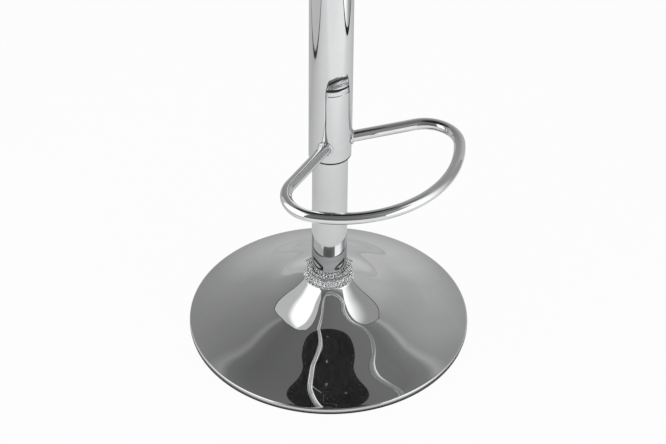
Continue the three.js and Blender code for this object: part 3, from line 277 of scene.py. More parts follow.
def panel_material(edges, softness, outer):
    """Lit cloth whose tone falls off from its middle, read along and up the panel."""
    material = stage_material("softbox_cloth", 0)
    tree = material.node_tree
    place = add_node(tree, "ShaderNodeTexCoord")
    parts = add_node(tree, "ShaderNodeSeparateXYZ")
    spans = [(parts.outputs["Y"], edges[0], -1), (parts.outputs["Z"], edges[1], -1),
             (parts.outputs["Z"], edges[2], 1)]
    link_nodes(tree, (place.outputs["Object"], parts.inputs["Vector"]))
    shares = []
    for source, edge, way in spans:
        share = add_node(
            tree, "ShaderNodeMapRange", interpolation_type="SMOOTHSTEP",
            from_min=edge - way * softness, from_max=edge + way * softness,
        )
        link_nodes(tree, (source, share.inputs["Value"]))
        shares.append(share.outputs["Result"])
    for other in shares[1:]:
        both = add_node(tree, "ShaderNodeMath", operation="MULTIPLY")
        link_nodes(tree, (shares[0], both.inputs[0]), (other, both.inputs[1]))
        shares[0] = both.outputs[0]
    tone = add_node(tree, "ShaderNodeMapRange", to_min=outer, to_max=SOFTBOX_MIDDLE)
    glow = add_node(tree, "ShaderNodeEmission")
    link_nodes(
        tree, (shares[0], tone.inputs["Value"]), (tone.outputs["Result"], glow.inputs["Strength"]),
        (glow.outputs[0], tree.nodes["Material Output"].inputs["Surface"]),
    )
    return material


def outset(outline, reach):
    """The outline with every side moved outwards by the reach."""
    corners = [Vector(corner) for corner in outline]
    moved = []
    for i, corner in enumerate(corners):
        before = (corner - corners[i - 1]).normalized()
        after = (corners[(i + 1) % len(corners)] - corner).normalized()
        ways = [Vector((-side.y, side.x)) for side in (before, after)]
        moved.append(corner + (ways[0] + ways[1]) * (reach / (1 + ways[0].dot(ways[1]))))
    return moved


def stood_up(name, side, distance, outline, foot, material):
    """A flat staged sheet beside the stool, hidden from the camera itself."""
    sheet_mesh = bpy.data.meshes.new(name)
    spots = [(side * distance, away, max(height, foot)) for away, height in outline]
    sheet_mesh.from_pydata(spots, [], [range(len(spots))])
    sheet_mesh.materials.append(material)
    sheet = bpy.data.objects.new(name, sheet_mesh)
    scene.collection.objects.link(sheet)
    sheet.matrix_world = Matrix.Rotation(azimuth, 4, "Z")
    sheet.visible_camera = False
    sheet.visible_transmission = False


frame_black = stage_material("softbox_frame", SOFTBOX_FRAME_TONE)
for side, distance, outline, edges, softness, outer in SOFTBOX_PANELS:
    cloth = panel_material(edges, softness, outer)
    stood_up("softbox", side, distance, outline, SOFTBOX_FOOT, cloth)
    border = outset(outline, -SOFTBOX_FRAME)
    behind = distance + SOFTBOX_FRAME_BEHIND
    stood_up("softbox_frame", side, behind, border, SOFTBOX_FRAME_FOOT, frame_black)
lamp_data = bpy.data.lights.new("overhead", "AREA")
lamp_data.size = OVERHEAD_SIZE
lamp_data.energy = math.pi * OVERHEAD_RADIANCE * OVERHEAD_SIZE**2
overhead = bpy.data.objects.new("overhead", lamp_data)
scene.collection.objects.link(overhead)
overhead.location = (0, 0, OVERHEAD_HEIGHT)
overhead.visible_camera = False
overhead.visible_glossy = False

# Trumpet base: one spun steel sheet, chromed, rolled under at the rim and turned in at the
# neck. Its slope at each radius sets how the room bends in it.
MM = 0.001
BASE_RADIUS = 202.5
BASE_SHEET = 2.0
RIM_FOOT = 3.0
RIM_CORNER_HEIGHT = 9.8
RIM_FILLET = 2.3
RIM_LOWER_FILLET = 0.8
TRUMPET_EDGE = 200.1
TRUMPET_FOOT = 10.4
TRUMPET_TOP = 86.3
TRUMPET_STEPS = 110
TRUMPET_SLOPES = (
    (36, 0.86), (47, 0.72), (64, 0.67), (80, 0.57), (88, 0.48), (98, 0.41), (108, 0.385),
    (120, 0.388), (142, 0.413), (160, 0.38), (180, 0.29), (201, 0.18),
)
NECK_RADIUS = 36
NECK_LIP_RADIUS = 35.4
NECK_TOP = 87.5
NECK_FILLET = 0.9
NECK_BORE = 25.35
EDGE_FILLET = 0.4
FINE_SIDES = 192
FILLET_STEPS = 6
FILLET_HOLD = 0.15
SHARP_ANGLE = math.radians(32)
MERGE_DISTANCE = 1e-6
CHROME_TONES = ((0.77, 0.775, 0.785, 1), (0.82, 0.825, 0.83, 1))
CHROME_ROUGHNESS = (0.018, 0.06)
CHROME_WAVE = 0.00002
WEAR_SCALES = (14.0, 260.0, 18.0)
SMUDGE_RANGE = (0.42, 0.72)
SCRATCH_RANGE = (0.6, 0.74)
SCRATCH_STRETCH = (1, 1, 0.06)
SCRATCH_TURN = (0.3, 0.5, 0.2)
PLAIN_IOR = 1.5


def eased_through(pairs, at):
    """A smooth curve through the pairs, read at the given places."""
    x, y = (np.array(values, float) for values in zip(*pairs))
    slope = np.gradient(y, x)
    index = np.clip(np.searchsorted(x, at) - 1, 0, len(x) - 2)
    step = x[index + 1] - x[index]
    t = (at - x[index]) / step
    return (
        (2 * t**3 - 3 * t**2 + 1) * y[index] + (t**3 - 2 * t**2 + t) * step * slope[index]
        + (3 * t**2 - 2 * t**3) * y[index + 1] + (t**3 - t**2) * step * slope[index + 1]
    )


def rounded(outline, steps=FILLET_STEPS):
    """The outline with each corner that gives a third value rounded to that radius."""
    corners = [Vector(corner[:2]) for corner in outline]
    result = []
    for i, corner in enumerate(outline):
        here = corners[i]
        if len(corner) < 3:
            result.append(tuple(here))
            continue
        sides = [corners[i - 1] - here, corners[(i + 1) % len(corners)] - here]
        half = sides[0].angle(sides[1]) / 2
        reach = corner[2] / math.tan(half)
        ways = [side.normalized() for side in sides]
        centre = here + (ways[0] + ways[1]).normalized() * (corner[2] / math.sin(half))
        start, end = (here + way * reach - centre for way in ways)
        turns = [start.slerp(end, step / steps).normalized() for step in range(steps + 1)]
        arc = [turn * corner[2] + centre for turn in turns]
        held = [here + way * (reach + FILLET_HOLD) for way in ways]
        if sides[0].length > reach + 3 * FILLET_HOLD:
            arc.insert(0, held[0])
        if sides[1].length > reach + 3 * FILLET_HOLD:
            arc.append(held[1])
        result.extend(tuple(point) for point in arc)
    return result


def finished_mesh(name, points, faces, sharp=SHARP_ANGLE):
    """A closed mesh from millimetre points: shared corners merged, faces turned outwards."""
    mesh = bpy.data.meshes.new(name)
    mesh.from_pydata([tuple(MM * value for value in point) for point in points], [], faces)
    work = bmesh.new()
    work.from_mesh(mesh)
    bmesh.ops.remove_doubles(work, verts=work.verts, dist=MERGE_DISTANCE)
    bmesh.ops.recalc_face_normals(work, faces=work.faces)
    work.to_mesh(mesh)
    work.free()
    mesh.shade_smooth()
    mesh.set_sharp_from_angle(angle=sharp)
    return mesh


def level_ring(radius, height, sides, middle=(0, 0)):
    """Points round a level circle."""
    x, y = middle
    angles = [2 * math.pi * side / sides for side in range(sides)]
    return [Vector((x + radius * math.cos(angle), y + radius * math.sin(angle), height))
            for angle in angles]


def joined(here, there, sides):
    """Four-sided faces between two rings of points whose first points have these numbers."""
    return [
        (here + side, here + (side + 1) % sides, there + (side + 1) % sides, there + side)
        for side in range(sides)
    ]


def turned(name, outline, sides=FINE_SIDES, place=None):
    """A turned piece; the outline is (radius, height) points round its section."""
    points, faces = [], []
    count = len(outline)
    for radius, height in outline:
        points += level_ring(radius, height, sides)
    for row in range(count):
        following = (row + 1) % count
        if outline[row][0] != 0 or outline[following][0] != 0:
            faces += joined(row * sides, following * sides, sides)
    if place is not None:
        points = [place @ point for point in points]
    return finished_mesh(name, points, faces)


def fit(mesh, material, body, slot, *nodes):
    """Puts a finished mesh on the stool in place of the named CAD solids."""
    mesh.materials.clear()
    mesh.materials.append(material)
    piece = bpy.data.objects.new(mesh.name, mesh)
    scene.collection.objects.link(piece)
    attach(piece, body)
    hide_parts(*nodes)
    return piece


def new_group(name, inputs, outputs):
    """An empty shader group with its sockets, its input node and its output node."""
    group = bpy.data.node_groups.new(name, "ShaderNodeTree")
    for label, kind, value in inputs:
        socket = group.interface.new_socket(label, in_out="INPUT", socket_type=kind)
        if value is not None:
            socket.default_value = value
    for label, kind in outputs:
        group.interface.new_socket(label, in_out="OUTPUT", socket_type=kind)
    return group, add_node(group, "NodeGroupInput"), add_node(group, "NodeGroupOutput")


# Smudges from hands and shoes, fine scratches and a slow ripple left by polishing
handled, start, end = new_group(
    "handled_surface",
    [("Vector", "NodeSocketVector", None), ("Smudge Scale", "NodeSocketFloat", WEAR_SCALES[0]),
     ("Scratch Scale", "NodeSocketFloat", WEAR_SCALES[1]),
     ("Ripple Scale", "NodeSocketFloat", WEAR_SCALES[2])],
    [("Smudges", "NodeSocketFloat"), ("Scratches", "NodeSocketFloat"),
     ("Ripple", "NodeSocketFloat")],
)
smudge_noise = add_node(handled, "ShaderNodeTexNoise", detail=5.0, roughness=0.62, distortion=0.6)
smudge_range = add_node(
    handled, "ShaderNodeMapRange", from_min=SMUDGE_RANGE[0], from_max=SMUDGE_RANGE[1],
)
stretch = add_node(handled, "ShaderNodeMapping", scale=SCRATCH_STRETCH, rotation=SCRATCH_TURN)
scratch_noise = add_node(handled, "ShaderNodeTexNoise", detail=3.0, roughness=0.7)
scratch_range = add_node(
    handled, "ShaderNodeMapRange", from_min=SCRATCH_RANGE[0], from_max=SCRATCH_RANGE[1],
)
ripple_noise = add_node(handled, "ShaderNodeTexNoise", detail=1.0, roughness=0.4)
link_nodes(
    handled,
    (start.outputs["Vector"], smudge_noise.inputs["Vector"]),
    (start.outputs["Smudge Scale"], smudge_noise.inputs["Scale"]),
    (smudge_noise.outputs["Fac"], smudge_range.inputs["Value"]),
    (smudge_range.outputs["Result"], end.inputs["Smudges"]),
    (start.outputs["Vector"], stretch.inputs["Vector"]),
    (stretch.outputs["Vector"], scratch_noise.inputs["Vector"]),
    (start.outputs["Scratch Scale"], scratch_noise.inputs["Scale"]),
    (scratch_noise.outputs["Fac"], scratch_range.inputs["Value"]),
    (scratch_range.outputs["Result"], end.inputs["Scratches"]),
    (start.outputs["Vector"], ripple_noise.inputs["Vector"]),
    (start.outputs["Ripple Scale"], ripple_noise.inputs["Scale"]),
    (ripple_noise.outputs["Fac"], end.inputs["Ripple"]),
)


def handled_finish(name, tones, roughness, ripple, metallic, scales=WEAR_SCALES, ior=PLAIN_IOR):
    """A material whose colour, gloss and surface vary with smudges, scratches and ripple."""
    material = bpy.data.materials.new(name)
    material.use_nodes = True
    tree = material.node_tree
    shader = tree.nodes["Principled BSDF"]
    shader.inputs["Metallic"].default_value = metallic
    shader.inputs["IOR"].default_value = ior
    place = add_node(tree, "ShaderNodeTexCoord")
    wear = add_node(tree, "ShaderNodeGroup", node_tree=handled)
    for label, value in zip(("Smudge Scale", "Scratch Scale", "Ripple Scale"), scales):
        wear.inputs[label].default_value = value
    tint = add_node(tree, "ShaderNodeMix", data_type="RGBA")
    tint.inputs[6].default_value = tones[1]
    tint.inputs[7].default_value = tones[0]
    gloss = add_node(tree, "ShaderNodeMapRange", to_min=roughness[0], to_max=roughness[1])
    marks = add_node(tree, "ShaderNodeMath", operation="MAXIMUM")
    bump = add_node(tree, "ShaderNodeBump", strength=1.0, distance=ripple)
    link_nodes(
        tree,
        (place.outputs["Object"], wear.inputs["Vector"]),
        (wear.outputs["Smudges"], tint.inputs["Factor"]),
        (tint.outputs[2], shader.inputs["Base Color"]),
        (wear.outputs["Smudges"], marks.inputs[0]),
        (wear.outputs["Scratches"], marks.inputs[1]),
        (marks.outputs[0], gloss.inputs["Value"]),
        (gloss.outputs["Result"], shader.inputs["Roughness"]),
        (wear.outputs["Ripple"], bump.inputs["Height"]),
        (bump.outputs["Normal"], shader.inputs["Normal"]),
    )
    return material


chrome_plate = handled_finish("chrome_plate", CHROME_TONES, CHROME_ROUGHNESS, CHROME_WAVE, 1)

radii = np.linspace(TRUMPET_EDGE, NECK_RADIUS, TRUMPET_STEPS)
slopes = eased_through(TRUMPET_SLOPES, radii)
rises = np.concatenate(([0], np.cumsum((slopes[1:] + slopes[:-1]) / 2 * -np.diff(radii))))
rise_share = (TRUMPET_TOP - TRUMPET_FOOT) / rises[-1]
heights = TRUMPET_FOOT + rises * rise_share
slant = np.hypot(1, slopes * rise_share)
inner_radii = radii - BASE_SHEET * slopes * rise_share / slant
inner_heights = heights - BASE_SHEET / slant
deep = inner_radii > NECK_BORE + 2 * BASE_SHEET
shell_outline = rounded([
    (BASE_RADIUS - BASE_SHEET, RIM_FOOT, RIM_LOWER_FILLET),
    (BASE_RADIUS, RIM_FOOT, RIM_LOWER_FILLET),
    (BASE_RADIUS, RIM_CORNER_HEIGHT, RIM_FILLET),
    (TRUMPET_EDGE, TRUMPET_FOOT),
])
shell_outline += list(zip(radii[1:], heights[1:]))
shell_outline += rounded([
    (NECK_RADIUS, TRUMPET_TOP), (NECK_LIP_RADIUS, NECK_TOP, NECK_FILLET),
    (NECK_BORE, NECK_TOP, EDGE_FILLET), (NECK_BORE, NECK_TOP - BASE_SHEET),
    (NECK_LIP_RADIUS - 2 * BASE_SHEET, NECK_TOP - BASE_SHEET),
])[1:]
shell_outline += list(zip(inner_radii[deep][::-1], inner_heights[deep][::-1]))
shell_outline.append((BASE_RADIUS - BASE_SHEET, RIM_CORNER_HEIGHT - RIM_FILLET))
fit(turned("trumpet_shell", shell_outline), chrome_plate, "base", "chrome_plate", "base_shell")

# Floor ring: a moulded black rubber ring pressed into the rim. The stool stands on it, and
# it shows as a dark line under the chrome.
RING_BORE = 189.2
RING_RADIUS = 201.7
RING_TUCK_RADIUS = 200.2
RING_STEP = 2.7
RING_TOP = 7.6
RING_FILLET = 0.9
RING_GROOVE = 195.5
RING_GROOVE_DEPTH = 1.2
RING_GROOVE_WIDTH = 1.6
RUBBER_TONES = ((0.012, 0.012, 0.012, 1), (0.028, 0.028, 0.028, 1))
RUBBER_ROUGHNESS = (0.55, 0.8)
RUBBER_GRAIN = 0.00006
RUBBER_SCALES = (30.0, 500.0, 1400.0)

black_rubber = handled_finish(
    "black_rubber", RUBBER_TONES, RUBBER_ROUGHNESS, RUBBER_GRAIN, 0, RUBBER_SCALES,
)
fit(
    turned("floor_ring", rounded([
        (RING_BORE, 0, RING_FILLET), (RING_GROOVE - RING_GROOVE_WIDTH, 0, EDGE_FILLET),
        (RING_GROOVE - RING_GROOVE_WIDTH, RING_GROOVE_DEPTH),
        (RING_GROOVE, RING_GROOVE_DEPTH), (RING_GROOVE, 0, EDGE_FILLET),
        (RING_RADIUS, 0, RING_FILLET), (RING_RADIUS, RING_STEP, RING_FILLET),
        (RING_TUCK_RADIUS, RING_STEP), (RING_TUCK_RADIUS, RING_TOP, EDGE_FILLET),
        (RING_BORE, RING_TOP, RING_FILLET),
    ])),
    black_rubber, "base", "black_rubber", "base_floor_ring",
)

# Socket and stiffener: a steel tube welded under the neck, and the black plate pressed into
# the shell that keeps it upright. Both show only from below.
SOCKET_RADIUS = 28.7
SOCKET_FOOT = 16.0
SOCKET_TOP = 85.2
SOCKET_BORE_FOOT = 24.63
SOCKET_BORE_TOP = 25.3
STIFFENER_BORE = 29.0
STIFFENER_EDGE = 139.1
STIFFENER_FOOT = 22.0
STIFFENER_TOP = 25.0
STIFFENER_RIB_DROP = 3.2
STIFFENER_RIBS = ((58.0, 7.0), (104.0, 7.0))
STIFFENER_RIB_FILLET = 2.0
ZINC_TONES = ((0.38, 0.38, 0.385, 1), (0.56, 0.56, 0.565, 1))
ZINC_ROUGHNESS = (0.26, 0.48)
ZINC_GRAIN = 0.00003
ZINC_SCALES = (40.0, 420.0, 700.0)
PAINT_TONES = ((0.013, 0.013, 0.014, 1), (0.022, 0.022, 0.023, 1))
PAINT_ROUGHNESS = (0.3, 0.46)
PAINT_GRAIN = 0.00005
PAINT_SCALES = (24.0, 380.0, 900.0)

bare_steel = handled_finish(
    "bare_steel", ZINC_TONES, ZINC_ROUGHNESS, ZINC_GRAIN, 1, ZINC_SCALES,
)
black_paint = handled_finish(
    "black_paint", PAINT_TONES, PAINT_ROUGHNESS, PAINT_GRAIN, 0, PAINT_SCALES,
)
fit(
    turned("base_socket_tube", rounded([
        (SOCKET_BORE_FOOT, SOCKET_FOOT, EDGE_FILLET), (SOCKET_RADIUS, SOCKET_FOOT, EDGE_FILLET),
        (SOCKET_RADIUS, SOCKET_TOP), (SOCKET_BORE_TOP, SOCKET_TOP),
    ])),
    bare_steel, "base", "bare_steel", "base_socket",
)
stiffener_foot = [(STIFFENER_BORE, STIFFENER_FOOT, EDGE_FILLET)]
rib_foot = STIFFENER_FOOT - STIFFENER_RIB_DROP
for middle, width in STIFFENER_RIBS:
    stiffener_foot += [
        (middle - width, STIFFENER_FOOT), (middle - width / 2, rib_foot),
        (middle + width / 2, rib_foot), (middle + width, STIFFENER_FOOT),
    ]
stiffener_foot.append((STIFFENER_EDGE, STIFFENER_FOOT, EDGE_FILLET))
stiffener_top = [(corner[0], corner[1] + STIFFENER_TOP - STIFFENER_FOOT)
                 for corner in reversed(stiffener_foot)]
stiffener = [corner[:2] for corner in stiffener_foot]
stiffener[1:-1] = [(*corner, STIFFENER_RIB_FILLET) for corner in stiffener[1:-1]]
fit(
    turned("stiffener_plate", rounded(stiffener + stiffener_top)),
    black_paint, "base", "black_paint", "base_stiffener_plate",
)

# Lift tube: the chromed outer tube of the gas lift. Its slow taper jams in the socket, and
# the cover tube and the footrest's hub slide and turn on it.
LIFT_RADIUS = 25.0
LIFT_WALL = 2.0
LIFT_FOOT = 14.0
LIFT_FOOT_RADIUS = 24.33
LIFT_FOOT_BORE = 18.3
LIFT_LIP = 2.0
LIFT_TAPER_TOP = 85.5
LIFT_TOP = 440.0

fit(
    turned("lift_tube", rounded([
        (LIFT_FOOT_BORE, LIFT_FOOT, EDGE_FILLET), (LIFT_FOOT_RADIUS, LIFT_FOOT, EDGE_FILLET),
        (LIFT_RADIUS, LIFT_TAPER_TOP), (LIFT_RADIUS, LIFT_TOP, EDGE_FILLET),
        (LIFT_RADIUS - LIFT_WALL, LIFT_TOP, EDGE_FILLET),
        (LIFT_RADIUS - LIFT_WALL, LIFT_TAPER_TOP),
        (LIFT_FOOT_RADIUS - LIFT_WALL, LIFT_FOOT + LIFT_LIP),
        (LIFT_FOOT_BORE, LIFT_FOOT + LIFT_LIP),
    ])),
    chrome_plate, "base", "chrome_plate", "lift_outer_tube",
)

# Scuff collar: a clear moulded ring that snaps round the lift tube and covers the joint
# with the base. Ribs stand between its flange and its crown.
COLLAR_FOOT = 87.8
COLLAR_FLANGE_RADIUS = 36.4
COLLAR_FLANGE_TOP = 2.4
COLLAR_SLEEVE_RADIUS = 29.2
COLLAR_RIB_RADIUS = 34.3
COLLAR_CROWN_RADIUS = 31.3
COLLAR_CROWN_FOOT = 12.0
COLLAR_TOP = 17.2
COLLAR_BORE = 25.32
COLLAR_MOUTH_RADIUS = 28.4
COLLAR_MOUTH_FOOT = 13.2
COLLAR_FILLET = 0.8
COLLAR_RIBS = 30
COLLAR_RIB_STEPS = 16
COLLAR_RIB_ROWS = 8
COLLAR_RIB_LEAN = 1.6
COLLAR_RIB_SHARPNESS = 2.6
CLEAR_TONE = (0.92, 0.93, 0.93, 1)
CLEAR_ROUGHNESS = (0.02, 0.07)
CLEAR_WAVE = 0.00004
CLEAR_SCALES = (60.0, 500.0, 90.0)
CLEAR_IOR = 1.49
CLEAR_SHARE = 0.93

clear_plastic = handled_finish(
    "clear_plastic", (CLEAR_TONE, CLEAR_TONE), CLEAR_ROUGHNESS, CLEAR_WAVE, 0, CLEAR_SCALES,
    CLEAR_IOR,
)
clear_shader = clear_plastic.node_tree.nodes["Principled BSDF"]
clear_shader.inputs["Transmission Weight"].default_value = CLEAR_SHARE
rib_heights = np.linspace(COLLAR_FLANGE_TOP, COLLAR_CROWN_FOOT, COLLAR_RIB_ROWS)
collar_outline = rounded([
    (COLLAR_BORE, 0), (COLLAR_FLANGE_RADIUS, 0, COLLAR_FILLET),
    (COLLAR_FLANGE_RADIUS, COLLAR_FLANGE_TOP, COLLAR_FILLET),
    (COLLAR_SLEEVE_RADIUS, COLLAR_FLANGE_TOP),
])
collar_outline += [(COLLAR_SLEEVE_RADIUS, height) for height in rib_heights[1:]]
collar_outline += rounded([
    (COLLAR_SLEEVE_RADIUS, COLLAR_CROWN_FOOT),
    (COLLAR_CROWN_RADIUS, COLLAR_CROWN_FOOT, COLLAR_FILLET),
    (COLLAR_CROWN_RADIUS, COLLAR_TOP, COLLAR_FILLET),
    (COLLAR_MOUTH_RADIUS, COLLAR_TOP, EDGE_FILLET), (COLLAR_BORE, COLLAR_MOUTH_FOOT),
])[1:]
collar_mesh = turned("collar", collar_outline, COLLAR_RIBS * COLLAR_RIB_STEPS)
for vertex in collar_mesh.vertices:
    radius = math.hypot(vertex.co.x, vertex.co.y)
    if abs(radius - COLLAR_SLEEVE_RADIUS * MM) > MERGE_DISTANCE:
        continue
    wave = math.cos(COLLAR_RIBS * math.atan2(vertex.co.y, vertex.co.x))
    swell = 1 / (1 + math.exp(-wave * COLLAR_RIB_SHARPNESS * 2))
    up = (vertex.co.z / MM - COLLAR_FLANGE_TOP) / (COLLAR_CROWN_FOOT - COLLAR_FLANGE_TOP)
    reach = COLLAR_RIB_RADIUS - COLLAR_SLEEVE_RADIUS - COLLAR_RIB_LEAN * up
    vertex.co.xy *= 1 + reach * swell / COLLAR_SLEEVE_RADIUS
collar_mesh.transform(Matrix.Translation((0, 0, COLLAR_FOOT * MM)))
fit(collar_mesh, clear_plastic, "base", "clear_plastic", "scuff_collar")

# Cover tube: the thin chromed tube that hangs from the seat and hides the lift. Its foot is
# cut away for the footrest's hub: a wide mouth, a round window for each arm and, above them,
# a tall notch whose sides flare towards the mouth.
COVER_RADIUS = 30.0
COVER_SHEET = 1.2
COVER_FOOT = 303.0
COVER_TOP = 699.7
NOTCH_TOP = 434.0
NOTCH_CORNER = 5.0
NOTCH_FLARE_TOP = 390.0
NOTCH_FLARE_RADIUS = 193.0
NOTCH_SIDES = (-53.3, 19.7)
MOUTH_SIDE = 74.0
ARM_HEIGHT = 334.0
ARM_CROSSING = 8.7
ARM_ANGLE = 68.9
WINDOW_RADIUS = 11.2
BENT_EDGE = 0.35
BENT_STEP = 0.5
BENT_COLUMN = 4.0
BENT_ROW = 9.0
BENT_RIM_STEP = 2.5
BENT_MITER_FLOOR = 0.5
HALF_TURN = 180.0
# Each ring of a rounded sheet edge: how far in, how deep, and the tilt of its normal
BENT_RINGS = ((1, 0, 90), (0.29, 0.29, 45), (0, 1, 0), (0, -1, 0), (0.29, -0.29, -45), (1, 0, -90))


def arm_root(side, radius):
    """Where an arm's centre line leaves a cylinder of that radius round the column."""
    along = Vector((side * math.sin(math.radians(ARM_ANGLE)), -math.cos(math.radians(ARM_ANGLE))))
    start = Vector((0, -ARM_CROSSING))
    back = start.dot(along)
    return start + along * (math.sqrt(back**2 - start.length_squared + radius**2) - back), along


def notch_height(angle):
    """How high the cover tube's foot is cut away at an angle from the stool's front."""
    height = COVER_FOOT if abs(angle) > MOUTH_SIDE else ARM_HEIGHT
    for side in (-1, 1):
        root, _ = arm_root(side, COVER_RADIUS)
        centre = math.degrees(math.atan2(root.x, -root.y))
        across = math.radians(angle - centre) * COVER_RADIUS
        if abs(across) < WINDOW_RADIUS:
            height = max(height, ARM_HEIGHT + math.sqrt(WINDOW_RADIUS**2 - across**2))
    left, right = NOTCH_SIDES
    inside = math.radians(min(angle - left, right - angle)) * COVER_RADIUS
    if inside >= 0:
        short = max(NOTCH_CORNER - inside, 0)
        return NOTCH_TOP - NOTCH_CORNER + math.sqrt(NOTCH_CORNER**2 - short**2)
    run = NOTCH_FLARE_RADIUS + inside
    flare = NOTCH_FLARE_TOP - math.sqrt(max(NOTCH_FLARE_RADIUS**2 - run**2, 0))
    return max(height, flare) if flare > ARM_HEIGHT else height


def divided(points, step, closed=True):
    """The same outline with no side longer than the step."""
    result = []
    followers = points[1:] + points[:1] if closed else points[1:]
    for here, there in zip(points, followers):
        here, there = Vector(here), Vector(there)
        count = max(1, math.ceil((there - here).length / step - MERGE_DISTANCE))
        result += [tuple(here.lerp(there, i / count)) for i in range(count)]
    return result if closed else result + [tuple(points[-1])]


def within(outline, places):
    """Which of the places lie inside a closed flat outline."""
    crossed = np.zeros(len(places), bool)
    for (x0, y0), (x1, y1) in zip(outline, np.roll(outline, -1, axis=0)):
        if y0 != y1:
            level = (y0 > places[:, 1]) != (y1 > places[:, 1])
            crossed ^= level & (places[:, 0] < x0 + (places[:, 1] - y0) * (x1 - x0) / (y1 - y0))
    return crossed


def bent_sheet(name, outline, radius, thickness, seam=False, edge=BENT_EDGE):
    """A sheet cut to a flat outline and bent round the column, with rounded edges.

    The outline runs anticlockwise in (millimetres round, height). With a seam, its first and
    last points are the two ends of the seam's foot, and its ends meet behind the column."""
    half_round = math.radians(HALF_TURN) * radius
    flat = np.array(divided(outline, BENT_RIM_STEP))
    on_seam = (np.abs(np.abs(flat[:, 0]) - half_round) < MERGE_DISTANCE) & seam
    behind, ahead = np.roll(flat, 1, axis=0), np.roll(flat, -1, axis=0)

    def side_normals(a, b):
        way = (b - a) / np.maximum(np.linalg.norm(b - a, axis=1), MERGE_DISTANCE)[:, None]
        return np.stack([way[:, 1], -way[:, 0]], axis=1)

    before, after = side_normals(behind, flat), side_normals(flat, ahead)
    seam_side = on_seam & np.roll(on_seam, 1)
    seam_next = on_seam & np.roll(on_seam, -1)
    before[seam_side] = after[seam_side]
    after[seam_next & ~seam_side] = before[seam_next & ~seam_side]
    outwards = before + after
    outwards /= np.maximum(np.linalg.norm(outwards, axis=1), MERGE_DISTANCE)[:, None]
    miter = 1 / np.maximum((outwards * after).sum(axis=1), BENT_MITER_FLOOR)
    interior = seam_side & seam_next
    outwards[on_seam & ~interior, 0] = 0
    miter[interior] = 0
    count = len(flat)
    rings, normals, depths = [], [], []
    for inset, depth, tilt in BENT_RINGS:
        rings.append(flat - outwards * (inset * edge * miter)[:, None])
        deep = depth * edge if tilt > 0 or depth > 0 else thickness + depth * edge
        depths.append(deep)
        normals.append((math.cos(math.radians(tilt)), math.sin(math.radians(tilt))))
    points, directions, faces = [], [], []

    def place(u, v, deep, flat_normal, rise):
        angle = u / radius
        out = Vector((math.sin(angle), -math.cos(angle), 0))
        along = Vector((math.cos(angle), math.sin(angle), 0))
        point = out * (radius - deep)
        point.z = v
        points.append(point)
        directions.append(along * flat_normal[0] + Vector((0, 0, flat_normal[1])) + out * rise)

    for ring, deep, (level, rise) in zip(rings, depths, normals):
        for (u, v), normal in zip(ring, outwards):
            place(u, v, deep, normal * level, rise)
    edged = ~(seam_next & (flat[:, 0] * ahead[:, 0] >= 0))
    for row in range(len(BENT_RINGS) - 1):
        band = joined(row * count, (row + 1) * count, count)
        faces += [face for face, kept in zip(band, edged) if kept]
    low, high = flat.min(axis=0), flat.max(axis=0)
    grid = []
    for u in np.arange(low[0] + BENT_COLUMN, high[0] - BENT_COLUMN / 2, BENT_COLUMN):
        for v in np.arange(low[1] + BENT_ROW, high[1] - BENT_ROW / 2, BENT_ROW):
            grid.append((u, v))
    border = [tuple(point) for point in rings[0]]
    clear = []
    for point in grid:
        near = np.hypot(rings[0][:, 0] - point[0], rings[0][:, 1] - point[1]).min()
        if near > BENT_COLUMN / 2:
            clear.append(point)
    spots = [Vector(point) for point in border + clear]
    cut = delaunay_2d_cdt(spots, [], [tuple(range(count))], 0, MERGE_DISTANCE, True)
    vertices, triangles, origins = cut[0], cut[2], cut[3]
    flat_places = np.array([tuple(vertex) for vertex in vertices])
    middles = flat_places[np.array([tuple(triangle) for triangle in triangles])].mean(axis=1)
    triangles = [triangle for triangle, kept in zip(triangles, within(rings[0], middles)) if kept]
    last_row = len(BENT_RINGS) - 1
    for deep_row, deep, rise, flip in ((0, 0, 1, False), (last_row, thickness, -1, True)):
        numbers = []
        for vertex, origin in zip(vertices, origins):
            border_ids = [i for i in origin if i < count]
            if border_ids:
                numbers.append(deep_row * count + border_ids[0])
            else:
                numbers.append(len(points))
                place(vertex.x, vertex.y, deep, (0, 0), rise)
        for triangle in triangles:
            corners = [numbers[i] for i in triangle]
            faces.append(tuple(reversed(corners)) if flip else tuple(corners))
    mesh = bpy.data.meshes.new(name)
    mesh.from_pydata([tuple(MM * value for value in point) for point in points], [], faces)
    layer = mesh.attributes.new("bent_normal", "FLOAT_VECTOR", "POINT")
    layer.data.foreach_set("vector", np.array([tuple(d.normalized()) for d in directions]).ravel())
    work = bmesh.new()
    work.from_mesh(mesh)
    bmesh.ops.delete(work, geom=[v for v in work.verts if not v.link_faces], context="VERTS")
    bmesh.ops.remove_doubles(work, verts=work.verts, dist=10 * MERGE_DISTANCE)
    bmesh.ops.recalc_face_normals(work, faces=work.faces)
    work.to_mesh(mesh)
    work.free()
    mesh.shade_smooth()
    stored = np.empty(len(mesh.vertices) * 3)
    mesh.attributes["bent_normal"].data.foreach_get("vector", stored)
    mesh.attributes.remove(mesh.attributes["bent_normal"])
    mesh.normals_split_custom_set_from_vertices([tuple(n) for n in stored.reshape(-1, 3)])
    return mesh


